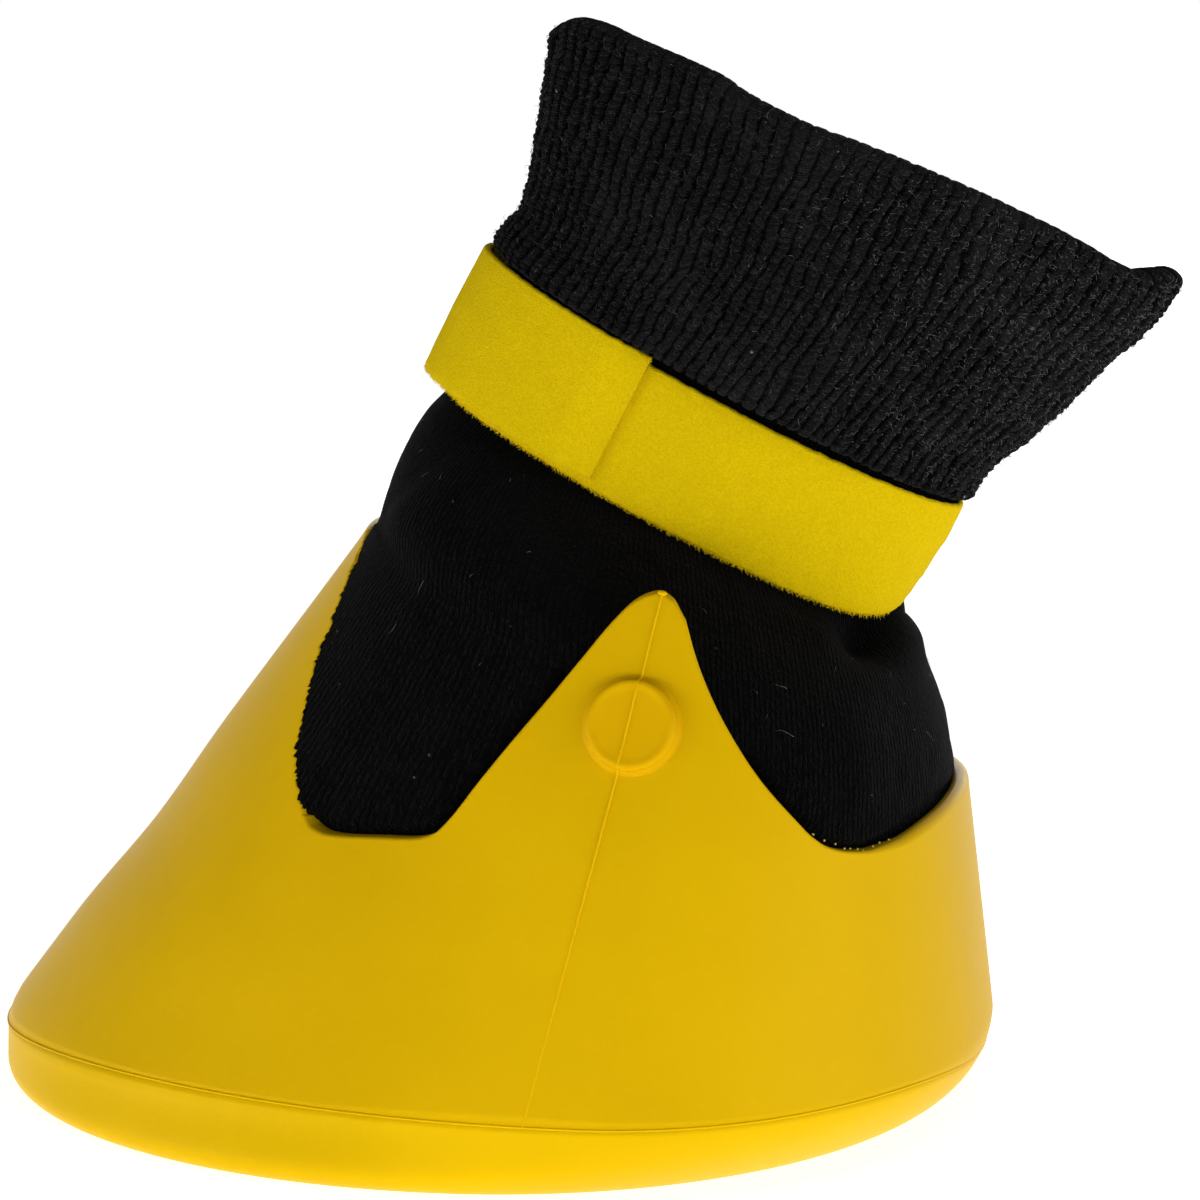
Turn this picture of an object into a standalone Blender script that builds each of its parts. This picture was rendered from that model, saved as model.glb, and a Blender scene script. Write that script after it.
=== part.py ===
"""Horse hoof boot: a moulded sole and wall, a knitted sock and a hook-and-loop strap.

The toe points to -X, the heel to +X and the near side to -Y. The origin is the middle of
the sole's ground face. Lengths are in metres and +Z is up.
"""

import math

import bmesh
import bpy
from mathutils import Matrix, Vector

# Fits
GAP = 0.0003
CUT_OVERRUN = 0.010

# Foot of the boot, where the wall meets the sole
SOLE_LENGTH = 0.183
SOLE_WIDTH = 0.160
WIDEST_SHARE = 0.636
SOLE_LINE_HEIGHT = 0.014
TOE_LINE_DROP = 0.0036
TOE_LINE_POWER = 6
TOE_EDGE_RADIUS = 0.004
HEEL_EDGE_RADIUS = 0.0165
EDGE_POWER = 2.2

# Sole
SOLE_FLOOR_HEIGHT = 0.008
SOLE_EDGE_SHARES = (0.0, 0.06, 0.18, 0.43, 0.75, 1.0)
TREAD_DEPTH = 0.0016
TREAD_WIDTH = 0.0026
TREAD_PITCH = 0.015
TREAD_MARGIN = 0.012
OUTLINE_COLUMNS = 72

# Wall
WALL_THICKNESS = 0.003
TOE_ANGLE = math.radians(53.3)
HEEL_LEAN = math.radians(6.7)
SIDE_LEAN = math.radians(19.5)
TONGUE_HEIGHT = 0.1032
FRONT_WINDOW_HEIGHT = 0.0571
PEAK_HEIGHT = 0.1014
REAR_WINDOW_HEIGHT = 0.0556
HEEL_RIM_HEIGHT = 0.0585
WALL_ROW_SHARES = (0.35, 0.7, 1.0)

# Rim of the wall from toe to heel: shares of the half turn, and of the rise of that stretch
TONGUE_EDGE_SHARES = (
    (0.0, 1.0), (0.022, 0.998), (0.042, 0.985), (0.060, 0.962), (0.076, 0.925),
    (0.105, 0.831), (0.136, 0.705), (0.160, 0.56), (0.185, 0.423), (0.209, 0.286),
    (0.235, 0.156), (0.258, 0.061), (0.275, 0.016), (0.292, 0.0),
)
PEAK_FRONT_SHARES = (
    (0.335, 0.02), (0.360, 0.035), (0.371, 0.06), (0.377, 0.115), (0.387, 0.271),
    (0.399, 0.429), (0.4128, 0.585), (0.4267, 0.738), (0.4427, 0.894), (0.453, 0.959),
    (0.4625, 0.988), (0.472, 1.0),
)
PEAK_REAR_SHARES = (
    (0.485, 0.976), (0.497, 0.915), (0.5247, 0.766), (0.5545, 0.622), (0.588, 0.476),
    (0.6254, 0.325), (0.671, 0.166), (0.694, 0.09), (0.713, 0.046), (0.738, 0.016),
    (0.770, 0.0),
)
HEEL_RIM_SHARES = ((0.809, 0.06), (0.855, 0.4), (0.908, 0.72), (0.956, 0.93), (1.0, 1.0))

# Round bosses on the sides of the wall
BOSS_DIAMETER = 0.0156
BOSS_PROUD = 0.0017
BOSS_SINK = 0.0015
BOSS_DRAFT = 0.0004
BOSS_TURN_SHARE = 0.479
BOSS_HEIGHT = 0.0796
BOSS_SIDES = 24

# Foam pad and the sock's sole panel
PAD_THICKNESS = 0.010
PAD_EDGE = 0.001
PANEL_THICKNESS = 0.0015

# Sock
SOCK_THICKNESS = 0.002
SOCK_CLEARANCE = 0.0005
SOCK_COLUMNS = 40
SOCK_MID_FRONT_HEIGHT = 0.062
SOCK_MID_REAR_HEIGHT = 0.044
NECK_FRONT_BULGE = 0.005
NECK_REAR_BULGE = 0.0025
NECK_DRAW_POWER = 1.6
NECK_SHARES = (0.3, 0.55, 0.8)

# Strap: the section of the sock that it goes round, and where that section lies
STRAP_CENTRE_X = 0.0382
STRAP_CENTRE_Z = 0.1202
STRAP_LEAN = math.radians(27.0)
PASTERN_LENGTH = 0.0904
PASTERN_WIDTH = 0.043
STRAP_WIDTH = 0.025
TAPE_THICKNESS = 0.0016
STRAP_COLUMNS = 72

# Lap of the strap
LAP_SPACE = 0.0018
TAB_LENGTH = 0.090
TAB_LINKS = ("strap_tab_root", "strap_tab_mid", "strap_tab_end")
TAB_PAST_NOSE = 0.0494
LINK_COLUMNS = 12
LAP_COVER = 0.006
LAP_RISE_LENGTH = 0.016
ARC_STEP = math.radians(0.5)

# Hook tape under the tab's end
HOOK_THICKNESS = 0.0012
HOOK_MARGIN = 0.0015

# Box of stitches that holds the strap's start to the sock
THREAD_DIAMETER = 0.0007
STITCH_LENGTH = 0.012
STITCH_MARGIN = 0.003
STITCH_CORNER = 0.0016
STITCH_RUN_POINTS = 6
STITCH_CORNER_POINTS = 4

# Turned-down cuff
CUFF_GAP = 0.0008
CUFF_HEIGHT = 0.0480
CUFF_AXIS_LEAN = math.radians(30)
CUFF_MOUTH_LEAN = math.radians(22.1)
CUFF_FOOT_LENGTH = 0.0985
CUFF_FOOT_WIDTH = 0.054
CUFF_MOUTH_LENGTH = 0.1195
CUFF_MOUTH_FORWARD = 0.0012
CUFF_MOUTH_WIDTH = 0.026
CUFF_MOUTH_ROLL = math.radians(12)
CUFF_MOUTH_POINT = 1.35
CUFF_THICKNESS = 0.0036
CUFF_ROLL = 0.0012
CUFF_LIP = 0.004
# Shares of the cuff's height, of its widening at the front and the rear, and of its turn
CUFF_SHAPE_SHARES = (
    (0.0, 0.0, 0.0, 0.0), (0.34, 0.14, 0.42, 0.76), (0.70, 0.72, 0.85, 1.0), (1.0, 1.0, 1.0, 1.0),
)

YELLOW_RUBBER = ((0.75, 0.50, 0.0, 1.0), 0.38)
YELLOW_TAPE = ((0.72, 0.60, 0.02, 1.0), 0.95)
BLACK_KNIT = ((0.012, 0.012, 0.013, 1.0), 0.95)
CHARCOAL_KNIT = ((0.03, 0.028, 0.03, 1.0), 0.95)
DARK_FOAM = ((0.05, 0.05, 0.055, 1.0), 0.9)


def mix(start, end, share):
    return start + (end - start) * share


def smooth(share):
    """A share that starts and ends gently."""
    share = min(max(share, 0), 1)
    return share * share * (3 - 2 * share)


def egg(angle, front, rear, half_width, widest_share, point=1):
    """X and Y of an egg outline. Angle 0 is the front, a quarter turn the near side."""
    widest = mix(front, rear, widest_share)
    reach = widest - front if math.cos(angle) > 0 else rear - widest
    sine = math.sin(angle)
    return widest - reach * math.cos(angle), -half_width * math.copysign(abs(sine) ** point, sine)


def even_angles(count):
    return [2 * math.pi * step / count for step in range(count)]


# The boot's outer face


def edge_radius(angle):
    """Radius of the bottom edge, small at the toe and large at the heel."""
    heel_share = (1 - math.cos(angle)) / 2
    return mix(TOE_EDGE_RADIUS, HEEL_EDGE_RADIUS, heel_share**EDGE_POWER)


def wall_point(angle, height, inset):
    """A point of the outer face at this height, moved in by the inset square to the wall."""
    toe_share = (1 + math.cos(angle)) / 2
    crease = SOLE_LINE_HEIGHT - TOE_LINE_DROP * toe_share**TOE_LINE_POWER
    rise = max(height - crease, 0)
    below = max(edge_radius(angle) - height, 0)
    tuck = edge_radius(angle) - math.sqrt(edge_radius(angle) ** 2 - below**2)
    front = rise / math.tan(TOE_ANGLE) + tuck + inset / math.sin(TOE_ANGLE)
    rear = rise * math.tan(HEEL_LEAN) + tuck + inset / math.cos(HEEL_LEAN)
    side = rise * math.tan(SIDE_LEAN) + tuck + inset / math.cos(SIDE_LEAN)
    x, y = egg(
        angle,
        front - SOLE_LENGTH / 2,
        SOLE_LENGTH / 2 - rear,
        SOLE_WIDTH / 2 - side,
        WIDEST_SHARE,
    )
    return Vector((x, y, height))


def wall_normal(angle, height):
    """The outward direction of the wall, from two short steps along it."""
    here = wall_point(angle, height, 0)
    along = wall_point(angle + ARC_STEP, height, 0) - here
    up = wall_point(angle, height + WALL_THICKNESS, 0) - here
    return along.cross(up).normalized()


def wall_ring(angles, height, inset):
    return [wall_point(angle, height, inset) for angle in angles]


def rim_table():
    """The rim's heights against the share of the half turn from toe to heel."""
    stretches = (
        (TONGUE_EDGE_SHARES, FRONT_WINDOW_HEIGHT, TONGUE_HEIGHT),
        (PEAK_FRONT_SHARES, FRONT_WINDOW_HEIGHT, PEAK_HEIGHT),
        (PEAK_REAR_SHARES, REAR_WINDOW_HEIGHT, PEAK_HEIGHT),
        (HEEL_RIM_SHARES, REAR_WINDOW_HEIGHT, HEEL_RIM_HEIGHT),
    )
    return [
        (turn, mix(low, high, share))
        for shares, low, high in stretches
        for turn, share in shares
    ]


def rim_columns():
    """Angle and rim height of each column of the wall, all the way round."""
    near = [(math.pi * turn, height) for turn, height in rim_table()]
    far = [(2 * math.pi - angle, height) for angle, height in reversed(near[1:-1])]
    return near + far


def wall_angles():
    return [angle for angle, height in rim_columns()]


# The sock's outer face


def strap_frame():
    """The strap's own axes: X along the section from front to heel, Z up the pastern."""
    return Matrix.Translation((STRAP_CENTRE_X, 0, STRAP_CENTRE_Z)) @ Matrix.Rotation(
        STRAP_LEAN, 4, "Y"
    )


def strap_ring(angles, level, inset):
    """The sock's section at this level above the middle of the strap."""
    half_length = PASTERN_LENGTH / 2 - inset
    frame = strap_frame()
    ring = []
    for angle in angles:
        x, y = egg(angle, -half_length, half_length, PASTERN_WIDTH / 2 - inset, 0.5)
        ring.append(frame @ Vector((x, y, level)))
    return ring


def rim_plane_ring(angles, front_height, rear_height, inset):
    """A ring on the wall's face that drops from the toe to the heel."""
    ring = []
    for angle in angles:
        height = mix(front_height, rear_height, (1 - math.cos(angle)) / 2)
        ring.append(wall_point(angle, height, inset))
    return ring


def neck_ring(angles, share, inset):
    """A ring of the sock between the wall's rim and the strap."""
    low = rim_plane_ring(
        angles, TONGUE_HEIGHT, HEEL_RIM_HEIGHT, WALL_THICKNESS + SOCK_CLEARANCE + inset
    )
    high = strap_ring(angles, -STRAP_WIDTH / 2, inset)
    ring = []
    for angle, start, end in zip(angles, low, high):
        point = start.lerp(end, share)
        bulge = mix(NECK_REAR_BULGE, NECK_FRONT_BULGE, (1 + math.cos(angle)) / 2)
        point.x -= bulge * math.sin(math.pi * share) * math.cos(angle)
        point.y = mix(start.y, end.y, share**NECK_DRAW_POWER)
        ring.append(point)
    return ring


def cuff_ring(angles, share, inset):
    """A section of the cuff at this share of its height, moved in by the inset."""
    for low, high in zip(CUFF_SHAPE_SHARES, CUFF_SHAPE_SHARES[1:]):
        if share <= high[0]:
            break
    between = (share - low[0]) / (high[0] - low[0])
    front_share, rear_share, turn = [mix(low[part], high[part], between) for part in (1, 2, 3)]
    foot = strap_frame() @ Vector((0, 0, STRAP_WIDTH / 2 + CUFF_GAP))
    axis = Vector((math.sin(CUFF_AXIS_LEAN), 0, math.cos(CUFF_AXIS_LEAN)))
    forward = CUFF_MOUTH_FORWARD * share
    front = inset - forward - mix(CUFF_FOOT_LENGTH, CUFF_MOUTH_LENGTH, front_share) / 2
    rear = mix(CUFF_FOOT_LENGTH, CUFF_MOUTH_LENGTH, rear_share) / 2 - forward - inset
    half_width = mix(CUFF_FOOT_WIDTH, CUFF_MOUTH_WIDTH, share) / 2 - inset
    frame = (
        Matrix.Translation(foot + axis * CUFF_HEIGHT * share)
        @ Matrix.Rotation(mix(STRAP_LEAN, CUFF_MOUTH_LEAN, turn), 4, "Y")
        @ Matrix.Rotation(-CUFF_MOUTH_ROLL * share * share, 4, "X")
    )
    ring = []
    for angle in angles:
        x, y = egg(angle, front, rear, half_width, 0.5, mix(1, CUFF_MOUTH_POINT, share))
        ring.append(frame @ Vector((x, y, 0)))
    return ring


def cuff_lip_share():
    """Where the underside of the cuff's fold lies, as a share of the cuff's height."""
    return 1 - CUFF_LIP / CUFF_HEIGHT


def wall_foot_top():
    """Top of the short band at the wall's foot, above which its rows follow the rim."""
    return SOLE_LINE_HEIGHT + WALL_THICKNESS


def sock_foot_height():
    """Where the sock's tube and the pad stand on the sole panel."""
    return SOLE_FLOOR_HEIGHT + GAP + PANEL_THICKNESS + GAP


def sock_rings(inset):
    """Rings of one face of the sock, from the sole panel up into the cuff's fold."""
    angles = even_angles(SOCK_COLUMNS)
    in_wall = WALL_THICKNESS + SOCK_CLEARANCE + inset
    in_cuff = CUFF_THICKNESS + SOCK_CLEARANCE + inset
    rings = [
        wall_ring(angles, sock_foot_height(), in_wall),
        wall_ring(angles, SOLE_LINE_HEIGHT, in_wall),
        wall_ring(angles, wall_foot_top(), in_wall),
        rim_plane_ring(angles, SOCK_MID_FRONT_HEIGHT, SOCK_MID_REAR_HEIGHT, in_wall),
        rim_plane_ring(angles, TONGUE_HEIGHT, HEEL_RIM_HEIGHT, in_wall),
    ]
    rings += [neck_ring(angles, share, inset) for share in NECK_SHARES]
    rings.append(strap_ring(angles, -STRAP_WIDTH / 2, inset))
    rings.append(strap_ring(angles, STRAP_WIDTH / 2, inset))
    top = cuff_lip_share() - GAP / CUFF_HEIGHT
    for shape in CUFF_SHAPE_SHARES[1:-1]:
        rings.append(cuff_ring(angles, shape[0], in_cuff))
    rings.append(cuff_ring(angles, top, in_cuff))
    return rings


# Making objects


def collection_named(name, parent):
    collection = bpy.data.collections.new(name)
    parent.children.link(collection)
    return collection


def material_named(name, look):
    colour, roughness = look
    material = bpy.data.materials.new(name)
    material.use_nodes = True
    shader = material.node_tree.nodes["Principled BSDF"]
    shader.inputs["Base Color"].default_value = colour
    shader.inputs["Roughness"].default_value = roughness
    shader.inputs["Metallic"].default_value = 0
    material.diffuse_color = colour
    return material


def object_from(mesh_or_curve, name, collection, look):
    made = bpy.data.objects.new(name, mesh_or_curve)
    collection.objects.link(made)
    if look:
        mesh_or_curve.materials.append(material_named(name, look))
    return made


def loft_mesh(name, rings, ends):
    """Quads through rings of equal count: ends is "caps", "open" or "closed" on itself."""
    build = bmesh.new()
    rows = [[build.verts.new(point) for point in ring] for ring in rings]
    pairs = list(zip(rows, rows[1:]))
    if ends == "closed":
        pairs.append((rows[-1], rows[0]))
    for low, high in pairs:
        for here in range(len(low)):
            beside = (here + 1) % len(low)
            build.faces.new((low[here], low[beside], high[beside], high[here]))
    if ends == "caps":
        build.faces.new(reversed(rows[0]))
        build.faces.new(rows[-1])
    bmesh.ops.recalc_face_normals(build, faces=build.faces)
    mesh = bpy.data.meshes.new(name)
    build.to_mesh(mesh)
    build.free()
    mesh.shade_smooth()
    mesh.set_sharp_from_angle(angle=math.radians(40))
    return mesh


def box_object(name, low, high, collection):
    """A box from its lowest to its highest corner, as a cutter."""
    build = bmesh.new()
    size = high - low
    place = Matrix.Translation((low + high) / 2) @ Matrix.Diagonal((*size, 1))
    bmesh.ops.create_cube(build, size=1, matrix=place)
    mesh = bpy.data.meshes.new(name)
    build.to_mesh(mesh)
    build.free()
    return as_cutter(object_from(mesh, name, collection, None))


def as_cutter(made):
    made.hide_render = True
    made.display_type = "WIRE"
    return made


def add_boolean(target, tool, operation):
    modifier = target.modifiers.new(tool.name, "BOOLEAN")
    modifier.operation = operation
    modifier.object = tool


# Sole


def make_outsole(parts, cutters):
    """The moulded sole: a cup with a rim for the wall and a floor for the sock."""
    angles = wall_angles()
    rings = [wall_ring(angles, SOLE_LINE_HEIGHT * share, 0) for share in SOLE_EDGE_SHARES]
    for height in (SOLE_LINE_HEIGHT, sock_foot_height(), SOLE_FLOOR_HEIGHT):
        rings.append(wall_ring(angles, height, WALL_THICKNESS))
    sole = object_from(loft_mesh("outsole", rings, "caps"), "outsole", parts, YELLOW_RUBBER)
    add_boolean(sole, make_tread_cutter(cutters), "DIFFERENCE")
    return sole


def ground_half_width(x):
    """Half the ground face's width at this place along the boot."""
    angles = even_angles(OUTLINE_COLUMNS)
    ring = wall_ring(angles[: OUTLINE_COLUMNS // 2 + 1], 0, 0)
    for before, after in zip(ring, ring[1:]):
        if before.x <= x <= after.x:
            return abs(mix(before.y, after.y, (x - before.x) / (after.x - before.x)))
    return 0


def make_tread_cutter(cutters):
    """Bars across the ground face, half a pitch either side of the origin and on from there."""
    build = bmesh.new()
    rows = int(SOLE_LENGTH / 2 / TREAD_PITCH)
    for row in range(-rows, rows):
        x = (row + 0.5) * TREAD_PITCH
        half = min(ground_half_width(x - TREAD_WIDTH), ground_half_width(x + TREAD_WIDTH))
        half -= TREAD_MARGIN
        if half > TREAD_WIDTH:
            size = (TREAD_WIDTH, 2 * half, 2 * TREAD_DEPTH)
            place = Matrix.Translation((x, 0, 0)) @ Matrix.Diagonal((*size, 1))
            bmesh.ops.create_cube(build, size=1, matrix=place)
    mesh = bpy.data.meshes.new("tread_cutter")
    build.to_mesh(mesh)
    build.free()
    return as_cutter(object_from(mesh, "tread_cutter", cutters, None))


# Wall


def make_shell(parts, cutters):
    """The moulded wall with its toe tongue, side peaks and round bosses."""
    columns = rim_columns()
    angles = wall_angles()
    foot = wall_ring(angles, SOLE_LINE_HEIGHT, 0)
    middle = wall_ring(angles, mix(SOLE_LINE_HEIGHT, wall_foot_top(), 0.5), 0)
    below = [low - (high - low) for low, high in zip(foot, middle)]
    rings = [below, foot, middle, wall_ring(angles, wall_foot_top(), 0)]
    for share in WALL_ROW_SHARES:
        rings.append(
            [wall_point(angle, mix(wall_foot_top(), rim, share), 0) for angle, rim in columns]
        )
    shell = object_from(loft_mesh("shell", rings, "open"), "shell", parts, YELLOW_RUBBER)
    solid = shell.modifiers.new("wall", "SOLIDIFY")
    solid.thickness = WALL_THICKNESS
    solid.offset = -1
    solid.use_even_offset = True
    for turn in (BOSS_TURN_SHARE, -BOSS_TURN_SHARE):
        add_boolean(shell, make_boss(math.pi * turn, cutters), "UNION")
    reach = SOLE_LENGTH
    seat = box_object(
        "wall_seat",
        Vector((-reach, -reach, -CUT_OVERRUN)),
        Vector((reach, reach, SOLE_LINE_HEIGHT + GAP)),
        cutters,
    )
    add_boolean(shell, seat, "DIFFERENCE")
    return shell


def make_boss(angle, cutters):
    """A round boss, square to the wall, which a union joins to it."""
    build = bmesh.new()
    bmesh.ops.create_cone(
        build,
        cap_ends=True,
        segments=BOSS_SIDES,
        radius1=BOSS_DIAMETER / 2,
        radius2=BOSS_DIAMETER / 2 - BOSS_DRAFT,
        depth=BOSS_PROUD + BOSS_SINK,
    )
    name = "boss_near" if angle > 0 else "boss_far"
    mesh = bpy.data.meshes.new(name)
    build.to_mesh(mesh)
    build.free()
    boss = as_cutter(object_from(mesh, name, cutters, None))
    normal = wall_normal(angle, BOSS_HEIGHT)
    middle = wall_point(angle, BOSS_HEIGHT, 0) + normal * (BOSS_PROUD - BOSS_SINK) / 2
    facing = normal.to_track_quat("Z", "Y").to_matrix().to_4x4()
    boss.matrix_world = Matrix.Translation(middle) @ facing
    return boss


# Inside the sock


def make_sock_sole(parts):
    """The panel that closes the sock's foot, on the floor of the sole."""
    angles = wall_angles()
    inset = WALL_THICKNESS + SOCK_CLEARANCE
    foot = SOLE_FLOOR_HEIGHT + GAP
    rings = [wall_ring(angles, foot, inset), wall_ring(angles, foot + PANEL_THICKNESS, inset)]
    return object_from(loft_mesh("sock_sole", rings, "caps"), "sock_sole", parts, BLACK_KNIT)


def make_insole_pad(parts):
    """The foam pad that the hoof stands on."""
    angles = even_angles(SOCK_COLUMNS)
    inset = WALL_THICKNESS + SOCK_CLEARANCE + SOCK_THICKNESS + SOCK_CLEARANCE
    foot = sock_foot_height()
    top = foot + PAD_THICKNESS
    rings = [
        wall_ring(angles, foot, inset),
        wall_ring(angles, top - PAD_EDGE, inset),
        wall_ring(angles, top, inset + PAD_EDGE),
    ]
    return object_from(loft_mesh("insole_pad", rings, "caps"), "insole_pad", parts, DARK_FOAM)


# Sock and cuff


def make_sock_body(parts):
    """The knitted tube from the sole panel up into the cuff."""
    rings = sock_rings(0) + sock_rings(SOCK_THICKNESS)[::-1]
    return object_from(loft_mesh("sock_body", rings, "closed"), "sock_body", parts, BLACK_KNIT)


def make_sock_cuff(parts):
    """The turned-down cuff, whose fold goes over the top of the sock's tube."""
    angles = even_angles(SOCK_COLUMNS)
    whole = CUFF_THICKNESS + SOCK_CLEARANCE + SOCK_THICKNESS
    roll_share = CUFF_ROLL / CUFF_HEIGHT
    lip = cuff_lip_share()
    middle_shares = [shape[0] for shape in CUFF_SHAPE_SHARES[1:-1]]
    profile = [(0, CUFF_THICKNESS), (0, CUFF_ROLL), (roll_share, 0)]
    profile += [(share, 0) for share in middle_shares]
    profile += [(1 - 2 * roll_share, 0), (1, CUFF_ROLL), (1, whole - CUFF_ROLL)]
    profile += [(1 - roll_share, whole), (lip, whole), (lip, CUFF_THICKNESS)]
    profile += [(share, CUFF_THICKNESS) for share in reversed(middle_shares)]
    rings = [cuff_ring(angles, share, inset) for share, inset in profile]
    return object_from(loft_mesh("sock_cuff", rings, "closed"), "sock_cuff", parts, CHARCOAL_KNIT)


# Strap


def strap_point(angle, offset):
    """A point this far outside the sock's section, in the strap's own plane."""
    half_length = PASTERN_LENGTH / 2
    half_width = PASTERN_WIDTH / 2
    on_sock = Vector((-half_length * math.cos(angle), -half_width * math.sin(angle)))
    normal = Vector((-half_width * math.cos(angle), -half_length * math.sin(angle)))
    return on_sock + normal.normalized() * offset


def angle_after(start, length, offset):
    """The angle reached by going this length round, backwards if it is negative."""
    step = math.copysign(ARC_STEP, length)
    angle = start
    left = abs(length)
    while left > 0:
        chord = (strap_point(angle + step, offset) - strap_point(angle, offset)).length
        if chord >= left:
            return angle + step * left / chord
        left -= chord
        angle += step
    return angle


def band_inner():
    return GAP


def tab_inner():
    return GAP + TAPE_THICKNESS + LAP_SPACE


def tab_joint_angles():
    """Where the tab's links start, and where the tab ends."""
    middle = tab_inner() + TAPE_THICKNESS / 2
    link = TAB_LENGTH / len(TAB_LINKS)
    lengths = [TAB_PAST_NOSE - TAB_LENGTH + link * number for number in range(len(TAB_LINKS) + 1)]
    return [angle_after(0, length, middle) for length in lengths]


def ribbon_object(name, samples, thickness, width, origin, parts, look):
    """A tape on edge: samples are (angle, offset) of its inner face, in order round."""
    inner = [strap_point(angle, offset) for angle, offset in samples]
    outer = [strap_point(angle, offset + thickness) for angle, offset in samples]
    curve = bpy.data.curves.new(name, "CURVE")
    curve.dimensions = "2D"
    curve.fill_mode = "BOTH"
    curve.extrude = width / 2
    spline = curve.splines.new("POLY")
    outline = inner + outer[::-1]
    spline.points.add(len(outline) - 1)
    for slot, point in zip(spline.points, outline):
        slot.co = (*(point - origin), 0, 1)
    spline.use_cyclic_u = True
    made = object_from(curve, name, parts, look)
    made.matrix_world = strap_frame() @ Matrix.Translation((*origin, 0))
    return made


def spaced(start, end, count):
    return [mix(start, end, step / count) for step in range(count + 1)]


def make_strap_band(parts):
    """The loop tape round the pastern. It rises onto its own start just before the tab."""
    lap = tab_joint_angles()[0]
    middle = tab_inner() + TAPE_THICKNESS / 2
    start = angle_after(lap, LAP_COVER, middle)
    end = angle_after(lap, -GAP / 2, middle) + 2 * math.pi
    rise_end = angle_after(lap, -TAPE_THICKNESS, middle) + 2 * math.pi
    rise_start = angle_after(lap, -LAP_RISE_LENGTH, middle) + 2 * math.pi
    samples = []
    for angle in spaced(start, end, STRAP_COLUMNS):
        risen = smooth((angle - rise_start) / (rise_end - rise_start))
        samples.append((angle, mix(band_inner(), tab_inner(), risen)))
    return ribbon_object(
        "strap_band", samples, TAPE_THICKNESS, STRAP_WIDTH, Vector((0, 0)), parts, YELLOW_TAPE
    )


def make_strap_tab(parts):
    """The three links of the tab, each with its origin on the hinge at its start."""
    joints = tab_joint_angles()
    middle = tab_inner() + TAPE_THICKNESS / 2
    for name, here, beyond in zip(TAB_LINKS, joints, joints[1:]):
        start = angle_after(here, GAP / 2, middle)
        end = angle_after(beyond, -GAP / 2, middle)
        samples = [(angle, tab_inner()) for angle in spaced(start, end, LINK_COLUMNS)]
        hinge = strap_point(here, tab_inner() + TAPE_THICKNESS)
        ribbon_object(name, samples, TAPE_THICKNESS, STRAP_WIDTH, hinge, parts, YELLOW_TAPE)


def make_hook_patch(parts):
    """The hook tape on the inner face of the tab's end."""
    joints = tab_joint_angles()
    offset = tab_inner() - GAP - HOOK_THICKNESS
    start = angle_after(joints[-2], HOOK_MARGIN, offset)
    end = angle_after(joints[-1], -HOOK_MARGIN, offset)
    samples = [(angle, offset) for angle in spaced(start, end, LINK_COLUMNS)]
    hinge = strap_point(joints[-2], tab_inner() + TAPE_THICKNESS)
    width = STRAP_WIDTH - 2 * HOOK_MARGIN
    return ribbon_object(
        "hook_patch", samples, HOOK_THICKNESS, width, hinge, parts, CHARCOAL_KNIT
    )


def stitch_route():
    """Points of the box of stitches, as lengths along the tape and heights up it."""
    half_height = STRAP_WIDTH / 2 - STITCH_MARGIN
    corners = (
        (STITCH_LENGTH, -half_height, -math.pi / 2), (STITCH_LENGTH, half_height, 0),
        (0, half_height, math.pi / 2), (0, -half_height, math.pi),
    )
    route = []
    for along, height, start in corners:
        centre_along = along - math.copysign(STITCH_CORNER, along - STITCH_LENGTH / 2)
        centre_height = height - math.copysign(STITCH_CORNER, height)
        for turn in spaced(start, start + math.pi / 2, STITCH_CORNER_POINTS):
            route.append(
                (
                    centre_along + STITCH_CORNER * math.cos(turn),
                    centre_height + STITCH_CORNER * math.sin(turn),
                )
            )
    return route


def make_anchor_stitches(parts):
    """The thread that sews the strap's start to the sock, under the tab's first link."""
    lap = tab_joint_angles()[0]
    offset = band_inner() + TAPE_THICKNESS + GAP + THREAD_DIAMETER / 2
    start = angle_after(lap, LAP_COVER + STITCH_MARGIN, tab_inner() + TAPE_THICKNESS / 2)
    route = stitch_route()
    points = []
    for here, beyond in zip(route, route[1:] + route[:1]):
        steps = STITCH_RUN_POINTS if math.dist(here, beyond) > STITCH_CORNER else 1
        for share in spaced(0, 1, steps)[:-1]:
            length = mix(here[0], beyond[0], share)
            flat = strap_point(angle_after(start, length, offset), offset)
            points.append((*flat, mix(here[1], beyond[1], share)))
    curve = bpy.data.curves.new("anchor_stitches", "CURVE")
    curve.dimensions = "3D"
    curve.bevel_depth = THREAD_DIAMETER / 2
    curve.bevel_resolution = 1
    spline = curve.splines.new("POLY")
    spline.points.add(len(points) - 1)
    for slot, point in zip(spline.points, points):
        slot.co = (*point, 1)
    spline.use_cyclic_u = True
    made = object_from(curve, "anchor_stitches", parts, YELLOW_TAPE)
    made.matrix_world = strap_frame()
    return made


def clear_scene():
    for found in list(bpy.data.objects):
        bpy.data.objects.remove(found, do_unlink=True)


def main():
    clear_scene()
    scene = bpy.context.scene.collection
    parts = collection_named("hoof_boot", scene)
    cutters = collection_named("cutters", scene)
    make_outsole(parts, cutters)
    make_shell(parts, cutters)
    make_sock_sole(parts)
    make_insole_pad(parts)
    make_sock_body(parts)
    make_sock_cuff(parts)
    make_strap_band(parts)
    make_strap_tab(parts)
    make_hook_patch(parts)
    make_anchor_stitches(parts)


main()
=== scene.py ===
"""Looks of a horse hoof boot, dressed over its packed frame.

Lengths are in metres. The toe points to -X, the heel to +X, the near side to -Y, and +Z is up.
Run as a script, it makes each piece with its material, the floor, the lights and the camera.
"""

import math
import random

import bpy
import numpy as np
from mathutils import Matrix, Vector


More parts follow.
